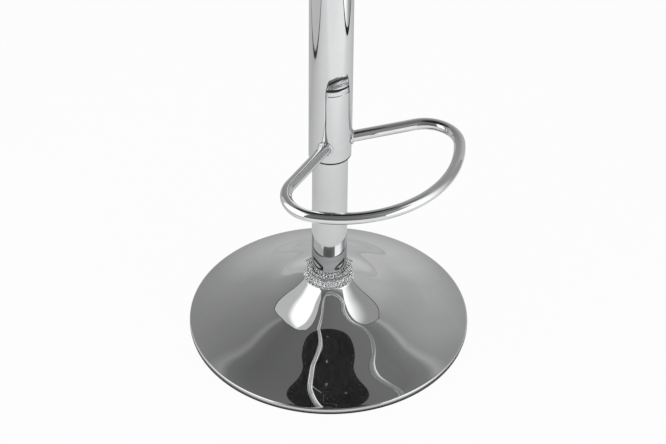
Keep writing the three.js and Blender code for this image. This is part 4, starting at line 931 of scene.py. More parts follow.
angles = set(np.arange(-HALF_TURN + BENT_STEP, HALF_TURN, BENT_STEP))
for jump in (-MOUTH_SIDE, MOUTH_SIDE, *NOTCH_SIDES):
    angles |= {jump - MERGE_DISTANCE, jump + MERGE_DISTANCE}
half_round = math.pi * COVER_RADIUS
cover_outline = [(-half_round, COVER_FOOT)]
cover_outline += [
    (math.radians(angle) * COVER_RADIUS, notch_height(angle)) for angle in sorted(angles)
]
cover_outline += [(half_round, COVER_FOOT), (half_round, COVER_TOP), (-half_round, COVER_TOP)]
fit(
    bent_sheet("cover_tube_sheet", cover_outline, COVER_RADIUS, COVER_SHEET, seam=True),
    chrome_plate, "seat_unit", "chrome_plate", "cover_tube",
)

# Footrest hub: a chromed steel sleeve that slides on the lift tube inside the cover tube's
# foot. A raised key fills the notch and the mouth, so hub and cover turn as one.
HUB_RADIUS = 28.5
HUB_BORE = 26.4
HUB_FOOT = 309.0
HUB_TOP = 429.0
HUB_CHAMFER = 1.2
KEY_RADIUS = 29.4
KEY_SHEET = 1.9
KEY_TOP = 421.5
KEY_GAP = 0.6
KEY_CORNER = 2.0
KEY_EDGE = 0.5
KEY_ROW = 3.0

key_inset = math.degrees(KEY_GAP / COVER_RADIUS)


def key_right_side(height):
    """The key's right edge, which follows the notch's flare at an even gap."""
    drop = max(NOTCH_FLARE_TOP - height, 0)
    sweep = NOTCH_FLARE_RADIUS - math.sqrt(NOTCH_FLARE_RADIUS**2 - drop**2)
    return NOTCH_SIDES[1] + math.degrees(sweep / COVER_RADIUS) - key_inset


key_left = NOTCH_SIDES[0] + 2 * key_inset
key_shoulder = ARM_HEIGHT - KEY_GAP
band_side = MOUTH_SIDE - key_inset
key_rows = np.arange(key_shoulder, KEY_TOP - KEY_CORNER, KEY_ROW)
key_edges = [(-band_side, HUB_FOOT), (band_side, HUB_FOOT), (band_side, key_shoulder)]
key_edges += [(key_right_side(height), height) for height in key_rows]
key_edges += [(key_left, KEY_TOP), (key_left, key_shoulder), (-band_side, key_shoulder)]
key_outline = [(math.radians(angle) * KEY_RADIUS, height) for angle, height in key_edges]
corner_round = math.radians(key_right_side(KEY_TOP)) * KEY_RADIUS
key_outline.insert(-3, (corner_round, KEY_TOP - KEY_CORNER))
key_outline.insert(-3, (corner_round - KEY_CORNER, KEY_TOP))
fit(
    turned("hub_sleeve", rounded([
        (HUB_BORE, HUB_FOOT, EDGE_FILLET), (HUB_RADIUS, HUB_FOOT, EDGE_FILLET),
        (HUB_RADIUS, HUB_TOP, HUB_CHAMFER), (HUB_BORE, HUB_TOP, EDGE_FILLET),
    ])),
    chrome_plate, "seat_unit", "chrome_plate", "footrest_hub",
)
fit(
    bent_sheet("hub_key", key_outline, KEY_RADIUS, KEY_SHEET, edge=KEY_EDGE),
    chrome_plate, "seat_unit", "chrome_plate", "footrest_hub",
)

# Glide bushes: black plastic rings pressed into both ends of the hub. Their lips show as a
# dark line under the hub and in the gap above it.
BUSH_BORE = 25.3
BUSH_SLEEVE = 26.1
BUSH_LENGTH = 24.0
BUSH_LIP = 2.2
BUSH_LIP_FILLET = 0.5
BUSH_FEET = (306.5, 431.5)
TONGUE_RADIUS = 29.3
TONGUE_SHEET = 1.6
TONGUE_FILLET = 0.6
PLASTIC_TONES = ((0.012, 0.012, 0.013, 1), (0.024, 0.024, 0.025, 1))
PLASTIC_ROUGHNESS = (0.3, 0.5)
PLASTIC_GRAIN = 0.00004
PLASTIC_SCALES = (40.0, 420.0, 1500.0)

black_plastic = handled_finish(
    "black_plastic", PLASTIC_TONES, PLASTIC_ROUGHNESS, PLASTIC_GRAIN, 0, PLASTIC_SCALES,
)
for name, foot, up in (("lower", BUSH_FEET[0], 1), ("upper", BUSH_FEET[1], -1)):
    bush_outline = [
        (BUSH_BORE, 0, TONGUE_FILLET), (HUB_RADIUS, 0, BUSH_LIP_FILLET),
        (HUB_RADIUS, BUSH_LIP, BUSH_LIP_FILLET), (BUSH_SLEEVE, BUSH_LIP),
        (BUSH_SLEEVE, BUSH_LENGTH), (BUSH_BORE, BUSH_LENGTH),
    ]
    placed = [(radius, foot + up * height, *fillet) for radius, height, *fillet in bush_outline]
    fit(
        turned(f"hub_bush_{name}", rounded(placed)),
        black_plastic, "seat_unit", "black_plastic", f"hub_{name}_bush",
    )
tongue_side = math.radians(band_side) * TONGUE_RADIUS
tongue_outline = [
    (-tongue_side, BUSH_FEET[0]), (tongue_side, BUSH_FEET[0]),
    (tongue_side, BUSH_FEET[0] + BUSH_LIP), (-tongue_side, BUSH_FEET[0] + BUSH_LIP),
]
fit(
    bent_sheet("hub_bush_tongue", tongue_outline, TONGUE_RADIUS, TONGUE_SHEET, edge=TONGUE_FILLET),
    black_plastic, "seat_unit", "black_plastic", "hub_lower_bush",
)

# Footrest loop: one bent and chromed steel tube, flat in its own plane. Both arms are let
# into the hub and welded there.
ARM_RADIUS = 8.0
LOOP_FRONT = 184.6
LOOP_FRONT_RADIUS = 165.0
LOOP_CORNER_RADIUS = 46.0
LOOP_ROOT = 28.0
LOOP_STEP = 2.4
LOOP_SIDES = 40


def arc_points(centre, radius, first, last, step):
    """Points along a flat arc, both ends included."""
    count = max(2, math.ceil(abs(last - first) * radius / step))
    return [centre + radius * Vector((math.cos(a), math.sin(a)))
            for a in np.linspace(first, last, count + 1)]


def loop_path():
    """The loop's centre line from the right arm's root round to the left arm's."""
    root, along = arm_root(1, LOOP_ROOT)
    front = Vector((0, LOOP_FRONT_RADIUS - LOOP_FRONT))
    start = Vector((0, -ARM_CROSSING))
    inwards = Vector((along.y, -along.x))
    first = start + inwards * LOOP_CORNER_RADIUS
    offset = first - front
    reach = LOOP_FRONT_RADIUS - LOOP_CORNER_RADIUS
    back = offset.dot(along)
    run = -back + math.sqrt(back**2 - offset.length_squared + reach**2)
    corner = first + along * run
    arm_end = start + along * run
    arm_turn = math.atan2(arm_end.y - corner.y, arm_end.x - corner.x)
    front_turn = math.atan2(corner.y - front.y, corner.x - front.x)
    right = divided([tuple(root), tuple(arm_end)], LOOP_STEP, closed=False)[:-1]
    bend = arc_points(corner, LOOP_CORNER_RADIUS, arm_turn, front_turn, LOOP_STEP)
    right += [tuple(point) for point in bend]
    middle = arc_points(front, LOOP_FRONT_RADIUS, front_turn, -math.pi - front_turn, LOOP_STEP)
    left = [(-x, y) for x, y in reversed(right)]
    return [Vector(point) for point in right + [tuple(point) for point in middle[1:-1]] + left]


def swept(name, path, radius, sides, height=0.0, closed=False, swell=None):
    """A round bar along a flat path at one height; swell scales each station's radius."""
    points, faces = [], []
    count = len(path)
    for i, here in enumerate(path):
        behind = path[i - 1] if closed or i > 0 else here
        ahead = path[(i + 1) % count] if closed or i < count - 1 else here
        way = (ahead - behind).normalized()
        aside = Vector((way.y, -way.x, 0))
        size = radius * (swell[i] if swell is not None else 1)
        for side in range(sides):
            angle = 2 * math.pi * side / sides
            points.append(
                Vector((here.x, here.y, height)) + aside * (size * math.cos(angle))
                + Vector((0, 0, size * math.sin(angle)))
            )
    for i in range(count if closed else count - 1):
        faces += joined(i * sides, (i + 1) % count * sides, sides)
    if not closed:
        faces += [tuple(range(sides)), tuple(range((count - 1) * sides, count * sides))]
    return finished_mesh(name, points, faces)


fit(
    swept("footrest_tube", loop_path(), ARM_RADIUS, LOOP_SIDES, ARM_HEIGHT),
    chrome_plate, "seat_unit", "chrome_plate", "footrest_loop",
)

# Welds: a rippled bead of steel round each arm where it meets the hub, chromed over with
# the rest, so that the arm seems to flare into the hub.
WELD_OFFSET = 1.1
WELD_RADIUS = 2.3
WELD_STATIONS = 156
WELD_SIDES = 20
WELD_RIPPLES = 26
WELD_RIPPLE_SHARE = 0.045


def weld_bead(name, side):
    """The bead follows the line where the arm's cylinder enters the hub's."""
    root, along = arm_root(side, KEY_RADIUS)
    across = Vector((along.y, -along.x))
    points, faces = [], []
    spine, outs = [], []
    for station in range(WELD_STATIONS):
        angle = 2 * math.pi * station / WELD_STATIONS
        reach = ARM_RADIUS + WELD_OFFSET / 2
        flat = across * (reach * math.cos(angle))
        start = Vector((0, -ARM_CROSSING)) + flat
        back = start.dot(along)
        run = math.sqrt(back**2 - start.length_squared + (KEY_RADIUS + WELD_OFFSET / 2)**2) - back
        on_hub = start + along * run
        spine.append(Vector((on_hub.x, on_hub.y, ARM_HEIGHT + reach * math.sin(angle))))
        out = across.to_3d() * math.cos(angle) + Vector((0, 0, math.sin(angle)))
        outs.append(out.normalized())
    for station, (centre, out) in enumerate(zip(spine, outs)):
        forward = spine[(station + 1) % WELD_STATIONS] - spine[station - 1]
        away = forward.cross(out).normalized()
        ripple = math.cos(2 * math.pi * WELD_RIPPLES * station / WELD_STATIONS)
        size = WELD_RADIUS * (1 + WELD_RIPPLE_SHARE * ripple)
        for corner in range(WELD_SIDES):
            angle = 2 * math.pi * corner / WELD_SIDES
            aside = out * (size * math.cos(angle)) + away * (size * math.sin(angle))
            points.append(centre + aside)
    for station in range(WELD_STATIONS):
        following = (station + 1) % WELD_STATIONS
        faces += joined(station * WELD_SIDES, following * WELD_SIDES, WELD_SIDES)
    return finished_mesh(name, points, faces)


for side, where in ((-1, "left"), (1, "right")):
    fit(
        weld_bead(f"weld_bead_{where}", side),
        chrome_plate, "seat_unit", "chrome_plate", f"footrest_weld_{where}",
    )

# Lift insides: the rod stands on a ball thrust bearing in the lift's foot, and the sealed
# cylinder slides on its piston. Turned and pressed parts whose CAD shapes are right, so they
# keep their solids and only get a finish.
GROUND_TONES = ((0.5, 0.5, 0.505, 1), (0.63, 0.63, 0.635, 1))
GROUND_ROUGHNESS = (0.09, 0.24)
GROUND_LINES = 0.000008
GROUND_SCALES = (50.0, 900.0, 2400.0)
SEAL_TONES = ((0.02, 0.02, 0.02, 1), (0.04, 0.038, 0.036, 1))
SEAL_ROUGHNESS = (0.4, 0.62)
SEAL_GRAIN = 0.00003
SEAL_SCALES = (60.0, 500.0, 1100.0)

ground_steel = handled_finish(
    "ground_steel", GROUND_TONES, GROUND_ROUGHNESS, GROUND_LINES, 1, GROUND_SCALES,
)
oiled_rubber = handled_finish(
    "oiled_rubber", SEAL_TONES, SEAL_ROUGHNESS, SEAL_GRAIN, 0, SEAL_SCALES,
)


def finish_nodes(material, *nodes):
    """Gives CAD solids whose shape is right their finish."""
    for node in nodes:
        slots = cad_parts[node].data.materials
        slots.clear()
        slots.append(material)


finish_nodes(
    ground_steel, "piston_rod", "bearing_lower_race", "bearing_upper_race", "bearing_ball_cage",
    "release_pin",
)
finish_nodes(
    bare_steel, "lift_bottom_plate", "rod_retaining_clip", "piston", "piston_nut", "valve_body",
    "cover_tube_cap",
)
finish_nodes(oiled_rubber, "lift_bumper", "piston_seal", "cylinder_gland")
finish_nodes(black_paint, "gas_cylinder", "seat_socket")
finish_nodes(black_plastic, "lift_guide_bush")

# Seat plate: one black-painted steel pressing, a flange bolted to the board round a pan with
# drawn corners. Two folded ears in the pan hold the lever, which leaves by a slot.
PLATE_SHEET = 2.5
PLATE_TOP = 733.5
PLATE_FOOT = 700.0
PLATE_HALF = 75.0
PLATE_CORNER = 12.0
PAN_HALF = 38.0
PAN_CORNER = 7.0
PAN_BEND = 4.5
PAN_BEND_STEPS = 5
PLATE_CORNER_STEPS = 8
SOCKET_HOLE = 19.3
FIXING_OFFSET = 60.0
FIXING_HOLE = 3.3
LEVER_HEIGHT = 717.3
SLOT_HALF = 6.4
EAR_OFFSET = 9.0
EAR_SHEET = 2.5
EAR_ENDS = (-36.5, -20.0)
EAR_TOP = 723.3
EAR_EDGE = 0.4
PLATE_EDGE_SEGMENTS = 2
EAR_EDGE_SEGMENTS = 3
CUTTER_SIDES = 24


def square_ring(half, corner, height):
    """A rounded square at a height, with the same count of points whatever its size."""
    ring = []
    for quarter in range(4):
        for step in range(PLATE_CORNER_STEPS + 1):
            angle = math.pi / 2 * (quarter + step / PLATE_CORNER_STEPS)
            sign = (1 if quarter in (0, 3) else -1, 1 if quarter < 2 else -1)
            ring.append((sign[0] * (half - corner) + corner * math.cos(angle),
                         sign[1] * (half - corner) + corner * math.sin(angle), height))
    return ring


def bend_rings(half, corner, height, radius, inwards, upwards):
    """Rings round a bend of the sheet, from the flat part to the upright part."""
    rings = []
    for step in range(PAN_BEND_STEPS + 1):
        angle = math.pi / 2 * step / PAN_BEND_STEPS
        aside = inwards * radius * (1 - math.sin(angle))
        up = upwards * radius * (1 - math.cos(angle))
        rings.append((half + aside, corner + aside, height + up))
    return rings


def block(x, y, z):
    """Corner points and faces of an upright block between pairs of limits."""
    points = [(a, b, c) for c in z for b in y for a in x]
    faces = [(0, 2, 3, 1), (4, 5, 7, 6), (0, 1, 5, 4), (2, 6, 7, 3), (0, 4, 6, 2), (1, 3, 7, 5)]
    return points, faces


def prism(first, sides):
    """The ends and the walls of a prism whose two rings of points start at this number."""
    ends = [tuple(range(start, start + sides)) for start in (first, first + sides)]
    return ends + joined(first, first + sides, sides)


def baked(holder):
    """The holder's mesh with its modifiers worked in."""
    seen = holder.evaluated_get(bpy.context.evaluated_depsgraph_get())
    return bpy.data.meshes.new_from_object(seen)


def finished_with(mesh, *modifiers):
    """The mesh after modifiers, each a kind with its settings; nothing is left live."""
    holder = bpy.data.objects.new(mesh.name, mesh)
    scene.collection.objects.link(holder)
    for kind, settings in modifiers:
        modifier = holder.modifiers.new(kind.lower(), kind)
        for name, value in settings.items():
            setattr(modifier, name, value)
    finished = baked(holder)
    finished.name = mesh.name
    bpy.data.objects.remove(holder)
    return finished


floor_top = PLATE_FOOT + PLATE_SHEET
inner_half = PAN_HALF - PLATE_SHEET
inner_corner = PAN_CORNER - PLATE_SHEET
outer_bend = bend_rings(PAN_HALF, PAN_CORNER, PLATE_TOP - PLATE_SHEET, PAN_BEND, 1, -1)
outer_foot = bend_rings(PAN_HALF, PAN_CORNER, PLATE_FOOT, PAN_BEND, -1, 1)
inner_foot = bend_rings(inner_half, inner_corner, floor_top, PAN_BEND - PLATE_SHEET, -1, 1)
inner_bend = bend_rings(inner_half, inner_corner, PLATE_TOP, PAN_BEND + PLATE_SHEET, 1, -1)
plate_rings = [
    (PLATE_HALF, PLATE_CORNER, PLATE_TOP - PLATE_SHEET), *outer_bend, *reversed(outer_foot),
    (SOCKET_HOLE, SOCKET_HOLE, PLATE_FOOT), (SOCKET_HOLE, SOCKET_HOLE, floor_top),
    *inner_foot, *reversed(inner_bend), (PLATE_HALF, PLATE_CORNER, PLATE_TOP),
]
plate_points = [point for ring in plate_rings for point in square_ring(*ring)]
ring_count = len(square_ring(*plate_rings[0]))
plate_faces = []
for row in range(len(plate_rings)):
    following = (row + 1) % len(plate_rings)
    plate_faces += joined(row * ring_count, following * ring_count, ring_count)
plate_mesh = finished_mesh("pressed_plate", plate_points, plate_faces)
cut_points, cut_faces = block(
    (-PAN_HALF - PLATE_SHEET, -PAN_HALF + 2 * PLATE_SHEET), (-SLOT_HALF, SLOT_HALF),
    (LEVER_HEIGHT - SLOT_HALF, LEVER_HEIGHT + SLOT_HALF),
)
for x in (-FIXING_OFFSET, FIXING_OFFSET):
    for y in (-FIXING_OFFSET, FIXING_OFFSET):
        cut_faces += prism(len(cut_points), CUTTER_SIDES)
        for height in (PLATE_TOP - 2 * PLATE_SHEET, PLATE_TOP + PLATE_SHEET):
            cut_points += level_ring(FIXING_HOLE, height, CUTTER_SIDES, (x, y))
cutter = bpy.data.objects.new("cutter", finished_mesh("cutter", cut_points, cut_faces))
scene.collection.objects.link(cutter)
plate_mesh = finished_with(
    plate_mesh,
    ("BOOLEAN", {"operation": "DIFFERENCE", "object": cutter, "solver": "EXACT"}),
    ("BEVEL", {
        "width": EAR_EDGE * MM, "segments": PLATE_EDGE_SEGMENTS, "limit_method": "ANGLE",
    }),
)
plate_mesh.shade_smooth()
plate_mesh.set_sharp_from_angle(angle=SHARP_ANGLE)
bpy.data.objects.remove(cutter)
fit(plate_mesh, black_paint, "seat_unit", "black_paint", "seat_plate")
ear_points, ear_faces = [], []
for side in (-1, 1):
    across = sorted((side * EAR_OFFSET, side * (EAR_OFFSET + EAR_SHEET)))
    points, faces = block(EAR_ENDS, across, (floor_top, EAR_TOP))
    ear_faces += [tuple(corner + len(ear_points) for corner in face) for face in faces]
    ear_points += points
ear_mesh = finished_with(
    finished_mesh("lever_ears", ear_points, ear_faces),
    ("BEVEL", {"width": EAR_EDGE * MM, "segments": EAR_EDGE_SEGMENTS}),
)
ear_mesh.shade_smooth()
ear_mesh.set_sharp_from_angle(angle=SHARP_ANGLE)
fit(ear_mesh, black_paint, "seat_unit", "black_paint", "seat_plate")

# Seat fixings: four zinc-plated hexagon bolts with washers go up through the plate into
# steel tee nuts that are pressed into the board from above.
BOLT_FOOT = 725.2
BOLT_HEAD_TOP = 729.2
BOLT_SHANK_TOP = 744.6
BOLT_RADIUS = 3.0
BOLT_HEX_RADIUS = 5.6
BOLT_CHAMFER = 0.9
WASHER_SPAN = (729.5, 730.7)
WASHER_RADIUS = 6.6
NUT_SPAN = (736.5, 745.5)
NUT_FLANGE = 1.2
NUT_FLANGE_RADIUS = 10.0
NUT_BARREL_RADIUS = 4.9
HEX_SIDES = 6
FIXING_SIDES = 48


def new_tree(name, *inputs):
    """An empty Geometry Nodes tree with the named inputs after its geometry."""
    tree = bpy.data.node_groups.new(name, "GeometryNodeTree")
    tree.interface.new_socket("Geometry", in_out="INPUT", socket_type="NodeSocketGeometry")
    for label, kind in inputs:
        tree.interface.new_socket(label, in_out="INPUT", socket_type=kind)
    tree.interface.new_socket("Geometry", in_out="OUTPUT", socket_type="NodeSocketGeometry")
    return tree, add_node(tree, "NodeGroupInput"), add_node(tree, "NodeGroupOutput")


def repeated(mesh, tree, **settings):
    """The mesh as the tree repeats it, made one plain mesh."""
    holder = bpy.data.objects.new(mesh.name, mesh)
    modifier = holder.modifiers.new("repeat", "NODES")
    modifier.node_group = tree
    for item in tree.interface.items_tree:
        label = item.name.lower().replace(" ", "_")
        if item.in_out == "INPUT" and label in settings:
            modifier[item.identifier] = settings[label]
    scene.collection.objects.link(holder)
    result = baked(holder)
    result.name = mesh.name
    bpy.data.objects.remove(holder)
    return result


at_corners, start, end = new_tree(
    "at_four_corners", ("Spacing", "NodeSocketFloat"), ("Finish", "NodeSocketMaterial"),
)
corner_grid = add_node(at_corners, "GeometryNodeMeshGrid", vertices_x=2, vertices_y=2)
on_corners = add_node(at_corners, "GeometryNodeInstanceOnPoints")
real_corners = add_node(at_corners, "GeometryNodeRealizeInstances")
coat_corners = add_node(at_corners, "GeometryNodeSetMaterial")
link_nodes(
    at_corners,
    (start.outputs["Spacing"], corner_grid.inputs["Size X"]),
    (start.outputs["Spacing"], corner_grid.inputs["Size Y"]),
    (corner_grid.outputs["Mesh"], on_corners.inputs["Points"]),
    (start.outputs["Geometry"], on_corners.inputs["Instance"]),
    (on_corners.outputs["Instances"], real_corners.inputs["Geometry"]),
    (real_corners.outputs["Geometry"], coat_corners.inputs["Geometry"]),
    (start.outputs["Finish"], coat_corners.inputs["Material"]),
    (coat_corners.outputs["Geometry"], end.inputs["Geometry"]),
)


def hex_bolt():
    """A forged hexagon head, chamfered at its face, on a plain shank."""
    points, faces = [], []
    rows = (
        (BOLT_HEX_RADIUS - 2 * BOLT_CHAMFER, BOLT_FOOT),
        (BOLT_HEX_RADIUS - BOLT_CHAMFER / 2, BOLT_FOOT),
        (BOLT_HEX_RADIUS, BOLT_FOOT + BOLT_CHAMFER / 2), (BOLT_HEX_RADIUS, BOLT_HEAD_TOP),
    )
    for radius, height in rows:
        points += level_ring(radius, height, HEX_SIDES)
    for row in range(len(rows) - 1):
        faces += joined(row * HEX_SIDES, (row + 1) * HEX_SIDES, HEX_SIDES)
    last = (len(rows) - 1) * HEX_SIDES
    faces += [tuple(range(HEX_SIDES)), tuple(range(last, last + HEX_SIDES))]
    faces += prism(len(points), CUTTER_SIDES)
    for height in (BOLT_HEAD_TOP - BOLT_CHAMFER, BOLT_SHANK_TOP):
        points += level_ring(BOLT_RADIUS, height, CUTTER_SIDES)
    return finished_mesh("seat_bolts", points, faces)


washer_mesh = turned("seat_washers", rounded([
    (FIXING_HOLE, WASHER_SPAN[0], EDGE_FILLET), (WASHER_RADIUS, WASHER_SPAN[0], EDGE_FILLET),
    (WASHER_RADIUS, WASHER_SPAN[1], EDGE_FILLET), (FIXING_HOLE, WASHER_SPAN[1], EDGE_FILLET),
]), FIXING_SIDES)
nut_mesh = turned("seat_tee_nuts", rounded([
    (FIXING_HOLE, NUT_SPAN[0]), (NUT_BARREL_RADIUS, NUT_SPAN[0], EDGE_FILLET),
    (NUT_BARREL_RADIUS, NUT_SPAN[1] - NUT_FLANGE),
    (NUT_FLANGE_RADIUS, NUT_SPAN[1] - NUT_FLANGE, EDGE_FILLET),
    (NUT_FLANGE_RADIUS, NUT_SPAN[1], EDGE_FILLET), (FIXING_HOLE, NUT_SPAN[1]),
]), FIXING_SIDES)
for fixing_mesh, kind in ((hex_bolt(), "bolt"), (washer_mesh, "washer"), (nut_mesh, "tee_nut")):
    fit(
        repeated(fixing_mesh, at_corners, spacing=2 * FIXING_OFFSET * MM, finish=bare_steel),
        bare_steel, "seat_unit", "bare_steel", *(f"seat_{kind}_{i}" for i in (1, 2, 3, 4)),
    )

# Release lever: a bent steel rod that turns on a headed pin between the ears, with its short
# end over the gas lift's pin and a ribbed black plastic grip pushed onto its long end.
LEVER_PIVOT = -27.0
LEVER_RADIUS = 4.0
LEVER_TIP = 6.0
LEVER_BEND_ENDS = (-50.0, -66.0)
LEVER_END = (-178.0, -27.0)
LEVER_SLOPE = 0.225
LEVER_STEP = 3.0
LEVER_BEND_STEPS = 8
LEVER_SIDES = 28
LEVER_END_SHARE = 0.82
LEVER_BOSS_RADIUS = 6.5
LEVER_BOSS_HALF = 8.7
LEVER_BOSS_GAP = 0.3
PIN_RADIUS = 2.5
PIN_HALF = 11.8
PIN_HEAD_RADIUS = 4.0
PIN_HEAD_HEIGHT = 1.5
GRIP_LENGTH = 72.0
GRIP_OVERLAP = 65.7
GRIP_BORE = 4.3
GRIP_RADIUS = 7.0
GRIP_SWELL_RADIUS = 8.4
GRIP_END_WALL = 6.0
GRIP_LEAD_IN = 0.5
GRIP_RIBS = 9
GRIP_RIB_SPAN = (14.0, 62.0)
GRIP_RIB_DEPTH = 0.75
GRIP_STEPS = 90
GRIP_SIDES = 64

upright = Matrix.Rotation(math.pi / 2, 4, "X")
pivot = Vector((LEVER_PIVOT, 0, LEVER_HEIGHT))
bend_start, bend_end = LEVER_BEND_ENDS
bend_middle = Vector(((bend_start + bend_end) / 2, 0))
bend_drop = Vector((bend_end, (bend_end - bend_middle.x) * LEVER_SLOPE))
bend = [Vector((bend_start, 0)).lerp(bend_middle, t).lerp(bend_middle.lerp(bend_drop, t), t)
        for t in np.linspace(0, 1, LEVER_BEND_STEPS)]
lever_path = divided([(LEVER_TIP, 0), (bend_start, 0)], LEVER_STEP, closed=False)[:-1]
lever_path += [tuple(point) for point in bend[:-1]]
lever_path += divided([tuple(bend_drop), LEVER_END], LEVER_STEP, closed=False)
lever_swell = [LEVER_END_SHARE, *[1] * (len(lever_path) - 2), LEVER_END_SHARE]
rod_mesh = swept(
    "lever_bar", [Vector(point) for point in lever_path], LEVER_RADIUS, LEVER_SIDES,
    swell=lever_swell,
)
rod_mesh.transform(Matrix.Translation((0, 0, LEVER_HEIGHT * MM)) @ upright)
fit(rod_mesh, bare_steel, "release_lever", "bare_steel", "lever_rod")
across_pivot = Matrix.Translation(pivot) @ upright
fit(
    turned("lever_boss", rounded([
        (PIN_RADIUS + LEVER_BOSS_GAP, -LEVER_BOSS_HALF, EDGE_FILLET),
        (LEVER_BOSS_RADIUS, -LEVER_BOSS_HALF, EDGE_FILLET),
        (LEVER_BOSS_RADIUS, LEVER_BOSS_HALF, EDGE_FILLET),
        (PIN_RADIUS + LEVER_BOSS_GAP, LEVER_BOSS_HALF, EDGE_FILLET),
    ]), GRIP_SIDES, across_pivot),
    bare_steel, "release_lever", "bare_steel", "lever_rod",
)
fit(
    turned("lever_pin", rounded([
        (0, -PIN_HALF - PIN_HEAD_HEIGHT), (PIN_RADIUS, -PIN_HALF - PIN_HEAD_HEIGHT, EDGE_FILLET),
        (PIN_RADIUS, PIN_HALF), (PIN_HEAD_RADIUS, PIN_HALF, EDGE_FILLET),
        (PIN_HEAD_RADIUS, PIN_HALF + PIN_HEAD_HEIGHT, EDGE_FILLET),
        (0, PIN_HALF + PIN_HEAD_HEIGHT),
    ]), GRIP_SIDES, across_pivot),
    ground_steel, "release_lever", "bare_steel", "lever_pivot_pin",
)
grip_way = Vector((-1, 0, -LEVER_SLOPE)).normalized()
grip_foot = Vector((LEVER_END[0], 0, LEVER_HEIGHT + LEVER_END[1])) - grip_way * GRIP_OVERLAP
grip_outline = [(GRIP_BORE, GRIP_LENGTH - GRIP_END_WALL), (GRIP_BORE, 0)]
for along in np.linspace(0, GRIP_LENGTH, GRIP_STEPS):
    full = eased_through(
        ((0, GRIP_RADIUS), (GRIP_LENGTH / 8, GRIP_RADIUS), (GRIP_LENGTH / 2, GRIP_SWELL_RADIUS),
         (GRIP_LENGTH - GRIP_END_WALL, GRIP_SWELL_RADIUS), (GRIP_LENGTH, GRIP_RADIUS)),
        np.array([along]),
    )[0]
    rib_along = (along - GRIP_RIB_SPAN[0]) / (GRIP_RIB_SPAN[1] - GRIP_RIB_SPAN[0])
    if 0 < rib_along < 1:
        full -= GRIP_RIB_DEPTH * (math.sin(math.pi * GRIP_RIBS * rib_along)**2)**2
    end_left = min(GRIP_LENGTH - along, GRIP_END_WALL)
    dome = math.sqrt(max(1 - (1 - end_left / GRIP_END_WALL)**2, 0))
    start_left = min(along, 1)
    grip_outline.append((full * dome - (1 - start_left) * GRIP_LEAD_IN, along))
grip_outline.append((0, GRIP_LENGTH - GRIP_END_WALL))
grip_place = Matrix.Translation(grip_foot) @ grip_way.to_track_quat("Z", "Y").to_matrix().to_4x4()
fit(
    turned("lever_handgrip", grip_outline, GRIP_SIDES, grip_place),
    black_plastic, "release_lever", "black_plastic", "lever_grip",
)

# Seat board: a round of beech plywood, drilled and pocketed for the tee nuts. The leatherette
# and the dust cover hide all of it but the rims of its holes.
PLY_TONES = ((0.42, 0.29, 0.17, 1), (0.62, 0.47, 0.3, 1))
PLY_FIBRE_STRETCH = (12.0, 900.0, 12.0)
PLY_BAND_SCALE = 33.0
PLY_BAND_SHARE = 0.35
PLY_ROUGHNESS = (0.55, 0.75)
PLY_GRAIN = 0.00008
PLY_SCALES = (20.0, 300.0, 500.0)

plywood = handled_finish("plywood", PLY_TONES, PLY_ROUGHNESS, PLY_GRAIN, 0, PLY_SCALES)
tree = plywood.node_tree
place = add_node(tree, "ShaderNodeTexCoord")
fibres = add_node(tree, "ShaderNodeMapping", scale=PLY_FIBRE_STRETCH)
growth = add_node(tree, "ShaderNodeTexNoise", scale=1.0, detail=4.0, distortion=0.4)
bands = add_node(
    tree, "ShaderNodeTexWave", wave_type="BANDS", bands_direction="Z", scale=PLY_BAND_SCALE,
)
grain_mix = add_node(tree, "ShaderNodeMix", data_type="RGBA")
grain_mix.inputs[6].default_value, grain_mix.inputs[7].default_value = PLY_TONES
band_mix = add_node(tree, "ShaderNodeMix", data_type="RGBA", blend_type="MULTIPLY")
band_mix.inputs[0].default_value = PLY_BAND_SHARE
link_nodes(
    tree,
    (place.outputs["Object"], fibres.inputs["Vector"]),
    (fibres.outputs["Vector"], growth.inputs["Vector"]),
    (growth.outputs["Fac"], grain_mix.inputs[0]),
    (place.outputs["Object"], bands.inputs["Vector"]),
    (grain_mix.outputs[2], band_mix.inputs[6]),
    (bands.outputs["Color"], band_mix.inputs[7]),
    (band_mix.outputs[2], tree.nodes["Principled BSDF"].inputs["Base Color"]),
)
finish_nodes(plywood, "seat_board")

# Dust cover: thin black spunbond cloth, cut out round the seat plate and stapled under the
# board, just inside the ring of leatherette that is turned in under it.
DUST_RADIUS = 179.0
DUST_FOOT = 732.75
DUST_SHEET = 0.6
DUST_OPENING_HALF = 75.3
DUST_OPENING_CORNER = 12.3
DUST_RING_STEP = 3.0
DUST_ROWS = 30
DUST_WRINKLE = 0.12
DUST_WRINKLES = 28
DUST_TONES = ((0.011, 0.011, 0.012, 1), (0.03, 0.03, 0.031, 1))
DUST_ROUGHNESS = (0.86, 0.97)
DUST_WEAVE = 0.0001
DUST_SCALES = (30.0, 700.0, 2600.0)
STAPLE_RADIUS = 173.0
STAPLE_HALF = 5.0
STAPLE_WIRE = 0.45
STAPLE_LEG = 2.0
STAPLE_SIDES = 8

